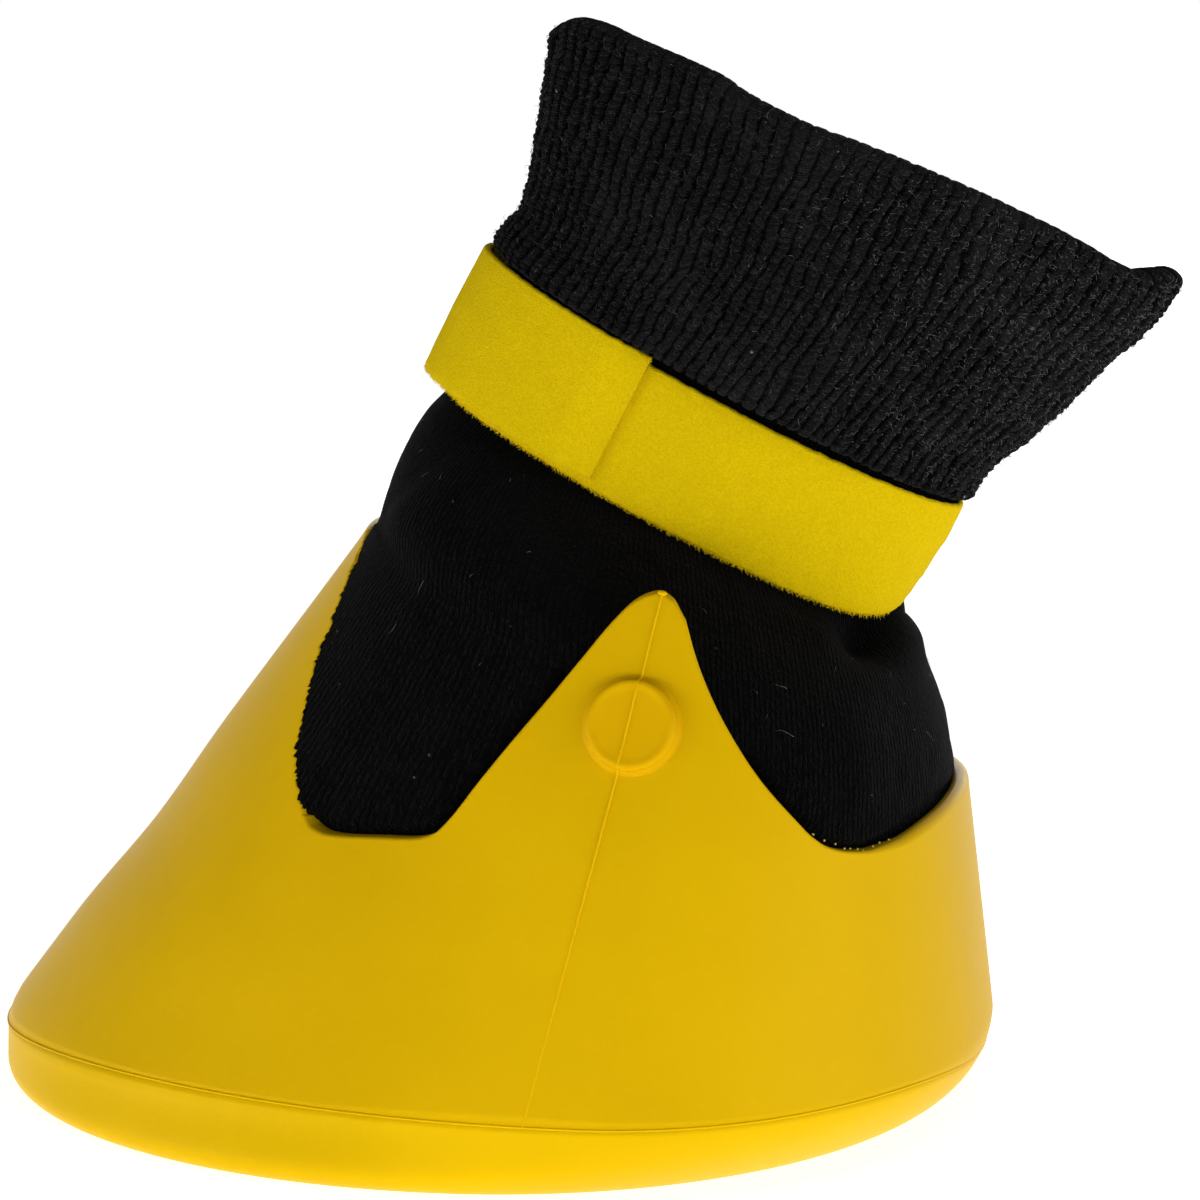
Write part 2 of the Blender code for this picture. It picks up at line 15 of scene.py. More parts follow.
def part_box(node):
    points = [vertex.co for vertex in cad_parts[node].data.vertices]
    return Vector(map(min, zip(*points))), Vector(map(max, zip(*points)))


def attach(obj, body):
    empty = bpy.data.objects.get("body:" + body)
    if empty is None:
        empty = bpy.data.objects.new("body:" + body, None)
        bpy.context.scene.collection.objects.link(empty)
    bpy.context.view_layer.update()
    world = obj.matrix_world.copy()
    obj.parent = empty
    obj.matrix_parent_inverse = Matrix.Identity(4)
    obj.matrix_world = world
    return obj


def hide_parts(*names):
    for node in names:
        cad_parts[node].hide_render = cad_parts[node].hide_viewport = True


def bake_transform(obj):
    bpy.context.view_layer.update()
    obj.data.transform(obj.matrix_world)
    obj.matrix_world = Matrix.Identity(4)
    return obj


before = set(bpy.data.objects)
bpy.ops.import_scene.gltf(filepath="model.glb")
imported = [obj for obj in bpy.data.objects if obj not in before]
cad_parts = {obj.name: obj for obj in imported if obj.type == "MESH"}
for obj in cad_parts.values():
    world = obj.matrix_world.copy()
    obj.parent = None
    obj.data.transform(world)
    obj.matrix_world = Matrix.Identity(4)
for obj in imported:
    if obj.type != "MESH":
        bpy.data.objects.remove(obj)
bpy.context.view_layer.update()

bl_info = {
    "name": "Hoof boot",
    "version": (1, 0, 0),
    "blender": (4, 5, 0),
    "location": "View3D > Sidebar > Hoof boot",
    "description": "Makes a moulded hoof boot with a knitted sock, cuff and strap",
    "category": "Object",
}

MM = 0.001
BOOT = "boot"

# Form of the moulded foot and wall, as in the frame
SOLE_LENGTH = 183 * MM
SOLE_WIDTH = 160 * MM
WIDEST_SHARE = 0.636
SOLE_LINE = 14 * MM
TOE_LINE_DROP = 3.6 * MM
TOE_DROP_POWER = 6
TOE_EDGE_RADIUS = 4 * MM
SOLE_FLOOR = 8 * MM
TOE_ANGLE = math.radians(53.3)
HEEL_LEAN = math.radians(6.7)
SIDE_LEAN = math.radians(19.5)
TONGUE_TOP = 103.2 * MM
FRONT_WINDOW = 57.1 * MM
PEAK_TOP = 101.4 * MM
REAR_WINDOW = 55.6 * MM
HEEL_RIM = 58.5 * MM
TONGUE_EDGE = (
    (0.0, 1.0), (0.022, 0.998), (0.042, 0.985), (0.060, 0.962), (0.076, 0.925),
    (0.105, 0.831), (0.136, 0.705), (0.160, 0.56), (0.185, 0.423), (0.209, 0.286),
    (0.235, 0.156), (0.258, 0.061), (0.275, 0.016), (0.292, 0.0),
)
PEAK_FRONT = (
    (0.335, 0.02), (0.360, 0.035), (0.371, 0.06), (0.377, 0.115), (0.387, 0.271),
    (0.399, 0.429), (0.4128, 0.585), (0.4267, 0.738), (0.4427, 0.894), (0.453, 0.959),
    (0.4625, 0.988), (0.472, 1.0),
)
PEAK_REAR = (
    (0.485, 0.976), (0.497, 0.915), (0.5247, 0.766), (0.5545, 0.622), (0.588, 0.476),
    (0.6254, 0.325), (0.671, 0.166), (0.694, 0.09), (0.713, 0.046), (0.738, 0.016),
    (0.770, 0.0),
)
HEEL_EDGE = ((0.809, 0.06), (0.855, 0.4), (0.908, 0.72), (0.956, 0.93), (1.0, 1.0))
BOSS_TURN = 0.479
BOSS_HEIGHT = 79.6 * MM

# Finer form of the foot, in the scene alone: the solids' outline is plainer there
HEEL_EDGE_RADIUS = 15 * MM
EDGE_GROWTH_POWER = 2.2
WIDEST_AT_GROUND = 0.53
TOE_LINE_DIP = 4.1 * MM
TOE_DIP_POWER = 14
HEEL_LINE_DIP = 4.3 * MM
HEEL_DIP_POWER = 24
# Height, and how far the toe's profile stands out of its straight line there, in mm
TOE_BOW = (
    (0, 0), (9, 0), (15, 1.0), (28, 1.0), (48, -0.45), (66, 0.35), (100, 0.6), (106, 1.0),
    (210, 1.0),
)

# Form of the sock, the strap and the cuff, as in the frame
SOCK_CLEARANCE = 0.5 * MM
SOCK_THICKNESS = 2 * MM
SOCK_FOOT = 10.1 * MM
NECK_FRONT_BULGE = 5 * MM
NECK_REAR_BULGE = 2.5 * MM
NECK_DRAW_POWER = 1.6
STRAP_CENTRE = Vector((38.2 * MM, 0, 120.2 * MM))
STRAP_LEAN = math.radians(27)
STRAP_WIDTH = 25 * MM
PASTERN_LENGTH = 90.4 * MM
PASTERN_WIDTH = 43 * MM
TAB_LENGTH = 90 * MM
TAB_PAST_NOSE = 49.4 * MM
TAB_MIDDLE = 4.5 * MM
LAP_COVER = 6 * MM
CUFF_GAP = 0.8 * MM
CUFF_HEIGHT = 48 * MM
CUFF_AXIS_LEAN = math.radians(30)
CUFF_MOUTH_LEAN = math.radians(22.1)
CUFF_FOOT_LENGTH = 98.5 * MM
CUFF_FOOT_WIDTH = 54 * MM
CUFF_MOUTH_LENGTH = 119.5 * MM
CUFF_MOUTH_FORWARD = 1.2 * MM
CUFF_MOUTH_WIDTH = 26 * MM
CUFF_MOUTH_ROLL = math.radians(12)
CUFF_MOUTH_POINT = 1.35
CUFF_FABRIC = 3.6 * MM
# Share of the cuff's height, and the shares reached there of its growth in front, of its growth
# at the heel, and of its turn from the strap's lean to its mouth's
CUFF_SHAPE = ((0, 0, 0, 0), (0.34, 0.14, 0.42, 0.76), (0.7, 0.72, 0.85, 1), (1, 1, 1, 1))

# Finer form of the knit, in the scene alone

# How far the knit lies under the wall's face beside the tongue
TONGUE_FLUSH = 0.2 * MM
# Stretch of the half turn, along the rear windows, where rubber came through the knit
BLEED_FROM = 0.69
BLEED_TO = 0.80
# Centres, half sizes and heights of the soft dents and folds under the strap, in mm
FOLDS = (
    ((69.5, -16, 88.5), (4.6, 7, 4.4), -4.6), ((61.5, -24, 87), (3.2, 6, 5), 1.0),
    ((56, -30, 80), (9, 6, 2.6), -0.8), ((68, -21, 81), (6, 7, 3), 0.9),
    ((35, -38, 104), (12, 7, 2.6), -0.8), ((20, -30, 112), (11, 8, 2.4), -0.5),
    ((67, 22.5, 83), (6, 5, 5), -1.6), ((-9, -12, 119), (6, 10, 2.5), -0.6),
    ((36, 38, 104), (12, 7, 3), -0.8), ((-16, 0, 116.5), (8, 15, 6), -1.2),
    ((79, 0, 95.5), (6, 12, 3.5), -2.2), ((75, 0, 86.0), (8, 13, 5.8), 2.8),
    ((84, 0, 112), (7, 9, 6), -2.4),
)
# Place along the half length, from front to heel, and how far the cuff's top edge moves, in mm
CUFF_TOP = (
    (-1.0, -1.9), (-0.985, -0.4), (-0.95, 1.0), (-0.88, 1.3), (-0.8, 1.0), (-0.65, 0.85),
    (-0.5, 0.6), (-0.4, -0.6), (-0.3, -1.15), (-0.18, -1.5), (0.0, -1.0), (0.15, -0.8),
    (0.35, -0.75), (0.6, -1.3), (0.75, -2.2), (0.83, -2.95), (0.9, -3.1), (0.95, -1.7),
    (1.0, 0.0),
)
# Share of the cuff's height, and how far it swells at its front and at its heel, in mm
CUFF_SWELL = (
    (0.0, 0.5, -1.8), (0.06, 1.1, -2.7), (0.1, 0.8, -3.2), (0.16, -0.1, -3.2), (0.21, -1.0, -2.1),
    (0.25, -0.9, -1.2), (0.3, -0.6, -0.7), (0.4, -0.35, -0.1), (0.5, -0.5, -0.1), (0.62, -1.3, 0.3),
    (0.7, -1.2, 1.5), (0.78, -0.9, 2.05), (0.88, -0.4, 2.35), (0.94, 0.2, 2.1), (1.0, -0.2, 1.6),
)
# Rows of the two knits' rings on which fibres lie
SOCK_LINT_ROWS = slice(30, 110)
CUFF_FACE_ROWS = slice(8, 225)
CUFF_STITCHES = 38
CUFF_POINTS_PER_RIB = 12

# The looks of the two knits: how many stitches a rib has (rows), the painted shade in the grooves
# (groove), the sheen (fuzz), how far the ribs sway, the bright dots (lint), the bump's height
# (relief) and depth (rise), the twist of the yarn (crinkle), the ribs' flank, and how broken up
# they are (patchy)
FINE_KNIT = {
    "rows": 64, "groove": 0.4, "fuzz": 0.01, "sway": 1, "lint": 0.25, "relief": 1.8,
    "rise": 0.45 * MM, "crinkle": 0, "flank": 0.7, "patchy": 0.85,
}
COARSE_KNIT = {
    "rows": CUFF_STITCHES, "groove": 0.03, "fuzz": 0.02, "sway": 0, "lint": 1, "relief": 1,
    "rise": 0.75 * MM, "crinkle": 0.6, "flank": 0.5, "patchy": 0,
}

# Share of a tape's length between its cut end and the ring that keeps that end's edge sharp
END_CREASE = 0.0006
# Shares of a loose fibre's length at which it bends
FIBRE_STEPS = np.array((0, 0.35, 0.7, 1.0))
# How far the band's inner face lies off the sock, and how far the tab's lies off the band
BAND_INNER = 0.3 * MM
TAB_LIFT = 1.7 * MM
# The tab's links: each one's piece, the node and the joint in the frame, and the bodies that the
# joint holds together
TAB_LINKS = (
    ("strap_tab_first", "strap_tab_root", "tab_peel_root", BOOT, "tab_root"),
    ("strap_tab_second", "strap_tab_mid", "tab_peel_mid", "tab_root", "tab_mid"),
    ("strap_tab_third", "strap_tab_end", "tab_peel_end", "tab_mid", "tab_end"),
)

# Light of the studio on the pieces, and the floor's size
AMBIENT = 0.12
FLOOR_GLOW = 0.95
FLOOR_GLOW_SEEN = 0.85
FLOOR_RADIUS = 1.1
# Name, place, width, height and power of each lamp
LAMPS = (
    ("low_light", (0.02, -0.30, 0.012), 0.7, 0.02, 0.39),
    ("front_light", (0.15, -1.4, 0.2), 1.5, 0.36, 0.5),
    ("right_light", (1.35, -0.55, 0.15), 1.2, 0.25, 9.8),
    ("left_light", (-1.3, -0.7, 0.12), 1.0, 0.2, 8.4),
    ("rear_light", (0.2, 1.4, 0.3), 1.5, 0.5, 7.0),
    ("top_light", (0.05, -0.2, 1.6), 1.4, 1.4, 1.8),
)
LAMP_AIM = Vector((0.02, 0, 0.09))

# The photograph's camera, for a square picture of 1200 by 1200 pixels
CAMERA_TURN = math.radians(8)
CAMERA_AWAY = 0.950
CAMERA_HEIGHT = 0.2865
CAMERA_AIM = Vector((0.01902, 0, 0.08969))
CAMERA_FOCAL_PIXELS = 5325.8
PICTURE_PIXELS = 1200
SENSOR_WIDTH_MM = 36


class HoofBootSizes(bpy.types.PropertyGroup):
    """Sizes that a user would change."""

    wall: bpy.props.FloatProperty(
        name="Wall", description="Thickness of the moulded wall",
        default=3 * MM, min=1 * MM, max=3.4 * MM, unit="LENGTH",
    )
    window_edge: bpy.props.FloatProperty(
        name="Window edge", description="Rounding of the wall's edge at the windows",
        default=0.5 * MM, min=0.2 * MM, max=1.4 * MM, unit="LENGTH",
    )
    heel_edge: bpy.props.FloatProperty(
        name="Heel edge", description="Rounding of the wall's edge at the heel",
        default=1.45 * MM, min=0.2 * MM, max=1.49 * MM, unit="LENGTH",
    )
    mould_line: bpy.props.FloatProperty(
        name="Mould line", description="Width of the raised line that the mould leaves",
        default=0.52 * MM, min=0.2 * MM, max=2 * MM, unit="LENGTH",
    )
    boss: bpy.props.FloatProperty(
        name="Boss", description="Diameter of the round bosses on the sides",
        default=16 * MM, min=5 * MM, max=20 * MM, unit="LENGTH",
    )
    boss_proud: bpy.props.FloatProperty(
        name="Boss height", description="How far the bosses stand out of the wall",
        default=2.2 * MM, min=1.2 * MM, max=3 * MM, unit="LENGTH",
    )
    sock_ribs: bpy.props.IntProperty(
        name="Sock ribs", description="Number of knitted ribs round the sock",
        default=300, min=60, max=600,
    )
    sock_flush: bpy.props.FloatProperty(
        name="Sock inset", description="How far the sock lies under the wall's face in a window",
        default=0.75 * MM, min=0.2 * MM, max=3 * MM, unit="LENGTH",
    )
    cuff_ribs: bpy.props.IntProperty(
        name="Cuff ribs", description="Number of knitted ribs round the cuff",
        default=98, min=40, max=300,
    )
    cuff_rib_depth: bpy.props.FloatProperty(
        name="Cuff rib depth", description="Depth of the grooves between the cuff's ribs",
        default=1.125 * MM, min=0, max=2 * MM, unit="LENGTH",
    )
    tape: bpy.props.FloatProperty(
        name="Tape", description="Thickness of the loop tape with its pile",
        default=1.3 * MM, min=0.6 * MM, max=1.6 * MM, unit="LENGTH",
    )
    pile: bpy.props.FloatProperty(
        name="Pile", description="Length of the loose pile at the tape's edges",
        default=0.95 * MM, min=0.1 * MM, max=3 * MM, unit="LENGTH",
    )
    pile_gap: bpy.props.FloatProperty(
        name="Pile spacing", description="Spacing of the loose pile along the tape's edges",
        default=0.16 * MM, min=0.05 * MM, max=2 * MM, unit="LENGTH",
    )


class HoofBootColours(bpy.types.PropertyGroup):
    """Colours that a user would change."""

    wall: bpy.props.FloatVectorProperty(
        name="Wall", description="Moulded rubber of the wall", subtype="COLOR", size=4,
        min=0, max=1, default=(0.62, 0.375, 0.001, 1),
    )
    # The sole is a little lighter than the wall: painted light from the floor below it.
    sole: bpy.props.FloatVectorProperty(
        name="Sole", description="Moulded rubber of the sole", subtype="COLOR", size=4,
        min=0, max=1, default=(0.68, 0.42, 0.001, 1),
    )
    tape: bpy.props.FloatVectorProperty(
        name="Tape", description="Loop tape", subtype="COLOR", size=4,
        min=0, max=1, default=(0.70, 0.49, 0.0015, 1),
    )
    sock: bpy.props.FloatVectorProperty(
        name="Sock", description="Knit of the sock", subtype="COLOR", size=4,
        min=0, max=1, default=(0.0019, 0.0018, 0.0019, 1),
    )
    cuff: bpy.props.FloatVectorProperty(
        name="Cuff", description="Knit of the cuff", subtype="COLOR", size=4,
        min=0, max=1, default=(0.0135, 0.0126, 0.0130, 1),
    )
    foam: bpy.props.FloatVectorProperty(
        name="Foam", description="Foam pad", subtype="COLOR", size=4,
        min=0, max=1, default=(0.045, 0.045, 0.05, 1),
    )
    backdrop: bpy.props.FloatVectorProperty(
        name="Backdrop", description="Floor and world", subtype="COLOR", size=4,
        min=0, max=1, default=(1, 1, 1, 1),
    )


# Numbers and curves


def mix(start, end, share):
    return start + (end - start) * share


def smooth(share):
    """A share that starts and ends gently."""
    share = np.clip(share, 0, 1)
    return share * share * (3 - 2 * share)


def dot(first, second):
    """Products of two rows of vectors, one number for each pair."""
    return (first * second).sum(-1)


def full_turn(count):
    """Angles evenly spaced round a whole turn."""
    return np.linspace(0, math.tau, count, endpoint=False)


def unit(vectors):
    return vectors / np.linalg.norm(vectors, axis=-1, keepdims=True)


def hermite(t, start, leave, end, reach):
    """A point on the smooth curve from start to end that leaves and reaches them these ways."""
    return (
        (1 + 2 * t) * (1 - t) ** 2 * start
        + t * (1 - t) ** 2 * leave
        + t * t * (3 - 2 * t) * end
        + t * t * (t - 1) * reach
    )


def smooth_table(xs, ys, at):
    """Values between table entries, on a curve that never overshoots them."""
    xs = np.asarray(xs, float)
    ys = np.asarray(ys, float)
    step = np.diff(xs)
    rise = np.diff(ys) / step
    slope = np.zeros(len(xs))
    same = rise[:-1] * rise[1:] > 0
    near = 2 * step[1:] + step[:-1]
    far = step[1:] + 2 * step[:-1]
    with np.errstate(divide="ignore", invalid="ignore"):
        joined = (near + far) / (near / rise[:-1] + far / rise[1:])
    slope[1:-1] = np.where(same, joined, 0)
    slope[0] = rise[0]
    slope[-1] = rise[-1]
    part = np.clip(np.searchsorted(xs, at) - 1, 0, len(xs) - 2)
    t = (at - xs[part]) / step[part]
    leave = step[part] * slope[part]
    reach = step[part] * slope[part + 1]
    return hermite(t, ys[part], leave, ys[part + 1], reach)


def wobble(at, seed):
    """A slow random wave between about -1 and 1, the same on every run."""
    source = random.Random(seed)
    total = np.zeros(np.shape(at))
    for octave in range(1, 6):
        total = total + math.sqrt(1 / octave) * np.sin(at * octave + source.uniform(0, math.tau))
    return total / 2.4


def lengths_along(line):
    """Length from the start of a line of points to each of them."""
    return np.concatenate([[0], np.cumsum(np.linalg.norm(np.diff(line, axis=0), axis=1))])


# Surfaces of the boot


def egg(angle, front, rear, half_width, widest_share, point=1.0):
    """X and Y of an egg outline. Angle 0 is the front, a quarter turn the near side."""
    widest = mix(front, rear, widest_share)
    cosine = np.cos(angle)
    sine = np.sin(angle)
    reach = np.where(cosine > 0, widest - front, rear - widest)
    return widest - reach * cosine, -half_width * np.copysign(np.abs(sine) ** point, sine)


def wall_surface(angle, height, inset):
    """Points of the boot's outer face, moved in by the inset."""
    angle, height, inset = np.broadcast_arrays(angle, height, inset)
    to_heel = (1 - np.cos(angle)) / 2
    to_toe = (1 + np.cos(angle)) / 2
    radius = mix(TOE_EDGE_RADIUS, HEEL_EDGE_RADIUS, to_heel**EDGE_GROWTH_POWER)
    crease = SOLE_LINE - TOE_LINE_DROP * to_toe**TOE_DROP_POWER
    rise = np.maximum(height - crease, 0)
    below = np.clip(radius - height, 0, radius)
    tuck = radius - np.sqrt(radius**2 - below**2)
    bow = np.array(TOE_BOW) * MM
    stand_out = smooth_table(bow[:, 0], bow[:, 1], height) * np.clip(np.cos(angle), 0, 1) ** 2
    front = rise / math.tan(TOE_ANGLE) + tuck + inset / math.sin(TOE_ANGLE) - stand_out
    rear = rise * math.tan(HEEL_LEAN) + tuck + inset / math.cos(HEEL_LEAN)
    side = rise * math.tan(SIDE_LEAN) + tuck + inset / math.cos(SIDE_LEAN)
    widest = mix(WIDEST_AT_GROUND, WIDEST_SHARE, smooth(height / SOLE_LINE))
    x, y = egg(
        angle, front - SOLE_LENGTH / 2, SOLE_LENGTH / 2 - rear, SOLE_WIDTH / 2 - side, widest
    )
    return np.stack([x, y, height], axis=-1)


def line_height(angle):
    """Height of the line between sole and wall, which dips at the toe and the heel."""
    toe = TOE_LINE_DIP * ((1 + np.cos(angle)) / 2) ** TOE_DIP_POWER
    heel = HEEL_LINE_DIP * ((1 - np.cos(angle)) / 2) ** HEEL_DIP_POWER
    return SOLE_LINE - toe - heel


def wall_facing(angle, height):
    """Outward unit vectors of the wall."""
    beside = 0.004
    above = 0.3 * MM
    along = wall_surface(angle + beside, height, 0) - wall_surface(angle - beside, height, 0)
    up = wall_surface(angle, height + above, 0) - wall_surface(angle, height - above, 0)
    return unit(np.cross(along, up))


def half_turn(angle):
    """Share of the half turn from toe to heel, the same on both sides."""
    turned = np.mod(angle, math.tau)
    return np.minimum(turned, math.tau - turned) / math.pi


def rim_height(angle):
    """Height of the wall's upper edge."""
    stretches = (
        (TONGUE_EDGE, FRONT_WINDOW, TONGUE_TOP),
        (PEAK_FRONT, FRONT_WINDOW, PEAK_TOP),
        (PEAK_REAR, REAR_WINDOW, PEAK_TOP),
        (HEEL_EDGE, REAR_WINDOW, HEEL_RIM),
    )
    turns = [turn for table, low, high in stretches for turn, share in table]
    heights = [mix(low, high, share) for table, low, high in stretches for turn, share in table]
    return smooth_table(turns, heights, half_turn(angle))


class Rim:
    """The wall's upper edge: even points along it, and which way is down the wall there."""

    def __init__(self, spacing):
        fine = full_turn(6000)
        line = wall_surface(fine, rim_height(fine), 0)
        length = lengths_along(np.vstack([line, line[:1]]))
        count = int(round(length[-1] / spacing))
        wanted = np.linspace(0, length[-1], count, endpoint=False)
        places = np.interp(wanted, length, np.arange(len(length)))
        self.angle = places / len(fine) * math.tau
        self.height = rim_height(self.angle)
        self.points = wall_surface(self.angle, self.height, 0)
        self.turn = half_turn(self.angle)
        self.tangent = unit(np.roll(self.points, -1, axis=0) - np.roll(self.points, 1, axis=0))
        self.normal = wall_facing(self.angle, self.height)
        down = -unit(np.cross(self.normal, self.tangent))
        turn, rise = 1e-4, 1e-5
        by_angle = (self.points - wall_surface(self.angle - turn, self.height, 0)) / turn
        by_height = (self.points - wall_surface(self.angle, self.height - rise, 0)) / rise
        aa = dot(by_angle, by_angle)
        ah = dot(by_angle, by_height)
        hh = dot(by_height, by_height)
        da = dot(by_angle, down)
        dh = dot(by_height, down)
        whole = aa * hh - ah * ah
        self.down_angle = (hh * da - ah * dh) / whole
        self.down_height = (aa * dh - ah * da) / whole

    def moved(self, distance):
        """Angle and height of the rim's points, this far down the wall."""
        side = np.where(np.mod(self.angle, math.tau) < math.pi, 1, -1)
        past = self.turn * math.pi - math.pi / 2
        pace = np.where(past < 0, WIDEST_SHARE, 1 - WIDEST_SHARE)
        length = (past + side * self.down_angle * distance) * pace
        now = length / np.where(length < 0, WIDEST_SHARE, 1 - WIDEST_SHARE)
        return self.angle + side * (now - past), self.height + self.down_height * distance


def distance_to_rim(angle, height, rim):
    """Distance from points of the wall's face to the rim, positive above it."""
    points = wall_surface(angle, height, 0).reshape(-1, 3)
    found = np.empty(len(points))
    at_once = 4000
    for start in range(0, len(points), at_once):
        part = points[start : start + at_once]
        gaps = part[:, None, :] - rim.points[None, :, :]
        found[start : start + at_once] = np.sqrt(dot(gaps, gaps).min(1))
    sign = np.where(height > rim_height(angle), 1, -1)
    return found.reshape(np.shape(angle)) * sign


# Surfaces of the sock, the strap and the cuff


def strap_frame():
    """The strap's plane: X along the pastern's length, Z up across the strap."""
    return Matrix.Translation(STRAP_CENTRE) @ Matrix.Rotation(STRAP_LEAN, 4, "Y")


def placed(frame_matrix, points):
    """Points moved by a matrix."""
    matrix = np.array(frame_matrix)
    return points @ matrix[:3, :3].T + matrix[:3, 3]


def strap_section(angle, level, inset):
    """The sock's section at this level above the middle of the strap."""
    half_length = PASTERN_LENGTH / 2 - inset
    x, y = egg(angle, -half_length, half_length, PASTERN_WIDTH / 2 - inset, 0.5)
    return placed(strap_frame(), np.stack([x, y, np.full_like(x, level)], axis=-1))


def rim_plane_section(angle, front_height, rear_height, inset):
    """A slanting section of the wall's face, moved in by the inset."""
    height = mix(front_height, rear_height, (1 - np.cos(angle)) / 2)
    return wall_surface(angle, height, inset)


def neck_section(angle, share, under_wall, inset):
    """The sock between the wall's rim and the strap."""
    low = rim_plane_section(angle, TONGUE_TOP, HEEL_RIM, under_wall + inset)
    high = strap_section(angle, -STRAP_WIDTH / 2, inset)
    points = mix(low, high, share)
    bulge = mix(NECK_REAR_BULGE, NECK_FRONT_BULGE, (1 + np.cos(angle)) / 2)
    points[:, 0] -= bulge * math.sin(math.pi * share) * np.cos(angle)
    points[:, 1] = mix(low[:, 1], high[:, 1], share**NECK_DRAW_POWER)
    return points


def cuff_section(angle, share, inset):
    """A section of the cuff at this share of its height, moved in by the inset."""
    at, *grown = np.array(CUFF_SHAPE, float).T
    level = min(max(share, 0.0), 1.0)
    front_share, rear_share, turn = [float(smooth_table(at, part, level)) for part in grown]
    foot = strap_frame() @ Vector((0, 0, STRAP_WIDTH / 2 + CUFF_GAP))
    axis = Vector((math.sin(CUFF_AXIS_LEAN), 0, math.cos(CUFF_AXIS_LEAN)))
    forward = CUFF_MOUTH_FORWARD * share
    front = inset - forward - mix(CUFF_FOOT_LENGTH, CUFF_MOUTH_LENGTH, front_share) / 2
    rear = mix(CUFF_FOOT_LENGTH, CUFF_MOUTH_LENGTH, rear_share) / 2 - forward - inset
    half_width = mix(CUFF_FOOT_WIDTH, CUFF_MOUTH_WIDTH, share) / 2 - inset
    section_frame = (
        Matrix.Translation(foot + axis * CUFF_HEIGHT * share)
        @ Matrix.Rotation(mix(STRAP_LEAN, CUFF_MOUTH_LEAN, turn), 4, "Y")
        @ Matrix.Rotation(-CUFF_MOUTH_ROLL * share * share, 4, "X")
    )
    x, y = egg(angle, front, rear, half_width, 0.5, mix(1, CUFF_MOUTH_POINT, share))
    return placed(section_frame, np.stack([x, y, np.zeros_like(x)], axis=-1))


def even_turns(section, count):
    """Angles that divide a closed section into stretches of equal length."""
    fine = full_turn(4000)
    line = section(fine)
    along = lengths_along(np.vstack([line, line[:1]]))
    wanted = np.linspace(0, along[-1], count, endpoint=False)
    return np.interp(wanted, along, np.append(fine, math.tau))


def through(rings, steps):
    """Rings on smooth curves through the given rings, with this many steps between each two."""
    rings = [2 * rings[0] - rings[1], *rings, 2 * rings[-1] - rings[-2]]
    made = []
    for index, count in enumerate(steps):
        before, start, end, after = rings[index : index + 4]
        span = np.linalg.norm(end - start, axis=-1, keepdims=True)
        lead = np.linalg.norm(start - before, axis=-1, keepdims=True)
        trail = np.linalg.norm(after - end, axis=-1, keepdims=True)
        leave = (end - before) / (span + lead) * span
        reach = (after - start) / (span + trail) * span
        made += [hermite(step / count, start, leave, end, reach) for step in range(count)]
    made.append(rings[-2])
    return made


def lint_object(name, rows, count, lengths, lift, seed, material, from_x=-1.0, bare=None):
    """Fine stray fibres that lie curled on a knitted face, more of them past the given X."""
    source = random.Random(seed)
    facing = grid_facing(rows)
    parts = 5
    fade = 70 * MM
    lines = []
    while len(lines) < count:
        row = source.randrange(2, len(rows) - 2)
        column = source.randrange(rows.shape[1])
        if source.random() > float(smooth((rows[row, column, 0] - from_x) / fade)):
            continue
        if bare is not None and not bare[row, column]:
            continue
        out = facing[row, column]
        across = unit(rows[row, (column + 1) % rows.shape[1]] - rows[row, column])
        beside = np.cross(out, across)
        heading = source.uniform(0, math.tau)
        bend = source.uniform(-2.4, 2.4)
        step = mix(lengths[0], lengths[1], source.random() ** 3) / parts
        rise = lift * source.random()
        place = rows[row, column] + out * 0.1 * MM
        line = [place]
        for part in range(parts):
            heading += bend / parts + source.uniform(-0.35, 0.35)
            way = across * math.cos(heading) + beside * math.sin(heading)
            place = place + step * way + out * (rise * math.cos(math.pi * (part + 0.5) / parts))
            line.append(place)
        lines.append(line)
    points, faces = strand_parts(lines, 0.05 * MM, 0)
    return mesh_object(name, points, faces, None, material)


# Making meshes


def mesh_object(name, points, faces, uvs, material):
    """A smooth mesh object in the scene. uvs holds one pair for each corner of each face."""
    mesh = bpy.data.meshes.new(name)
    mesh.from_pydata([tuple(p) for p in np.asarray(points, float)], [], [list(f) for f in faces])
    if uvs is not None:
        layer = mesh.uv_layers.new(name="UVMap")
        layer.data.foreach_set("uv", np.asarray(uvs, np.float32).ravel())
    mesh.shade_smooth()
    mesh.update()
    made = bpy.data.objects.new(name, mesh)
    bpy.context.scene.collection.objects.link(made)
    mesh.materials.append(material)
    return made


def even_grid(along, columns):
    """UVs of a tube's rows at these lengths, with one more column to close it."""
    across, along = np.meshgrid(np.linspace(0, 1, columns + 1), along)
    return np.stack([across, along], axis=-1)


def tube_parts(rings, closed=False, flip=False, grid=None):
    """Points, faces and UVs of rings of equal count that go round. UVs run from 0 to 1."""
    rings = np.asarray(rings, float)
    rows, columns = rings.shape[:2]
    last = rows if closed else rows - 1
    if grid is None:
        grid = even_grid(np.linspace(0, 1, last + 1), columns)
    row, column = np.meshgrid(np.arange(last), np.arange(columns), indexing="ij")
    beside = (column + 1) % columns
    above = (row + 1) % rows
    low = (row * columns + column, row * columns + beside)
    high = (above * columns + beside, above * columns + column)
    corners = np.stack([*low, *high], axis=-1)
    low = (grid[row, column], grid[row, column + 1])
    high = (grid[row + 1, column + 1], grid[row + 1, column])
    uvs = np.stack([*low, *high], axis=-2)
    if flip:
        corners = corners[..., ::-1]
        uvs = uvs[..., ::-1, :]
    return rings.reshape(-1, 3), corners.reshape(-1, 4), uvs.reshape(-1, 2)


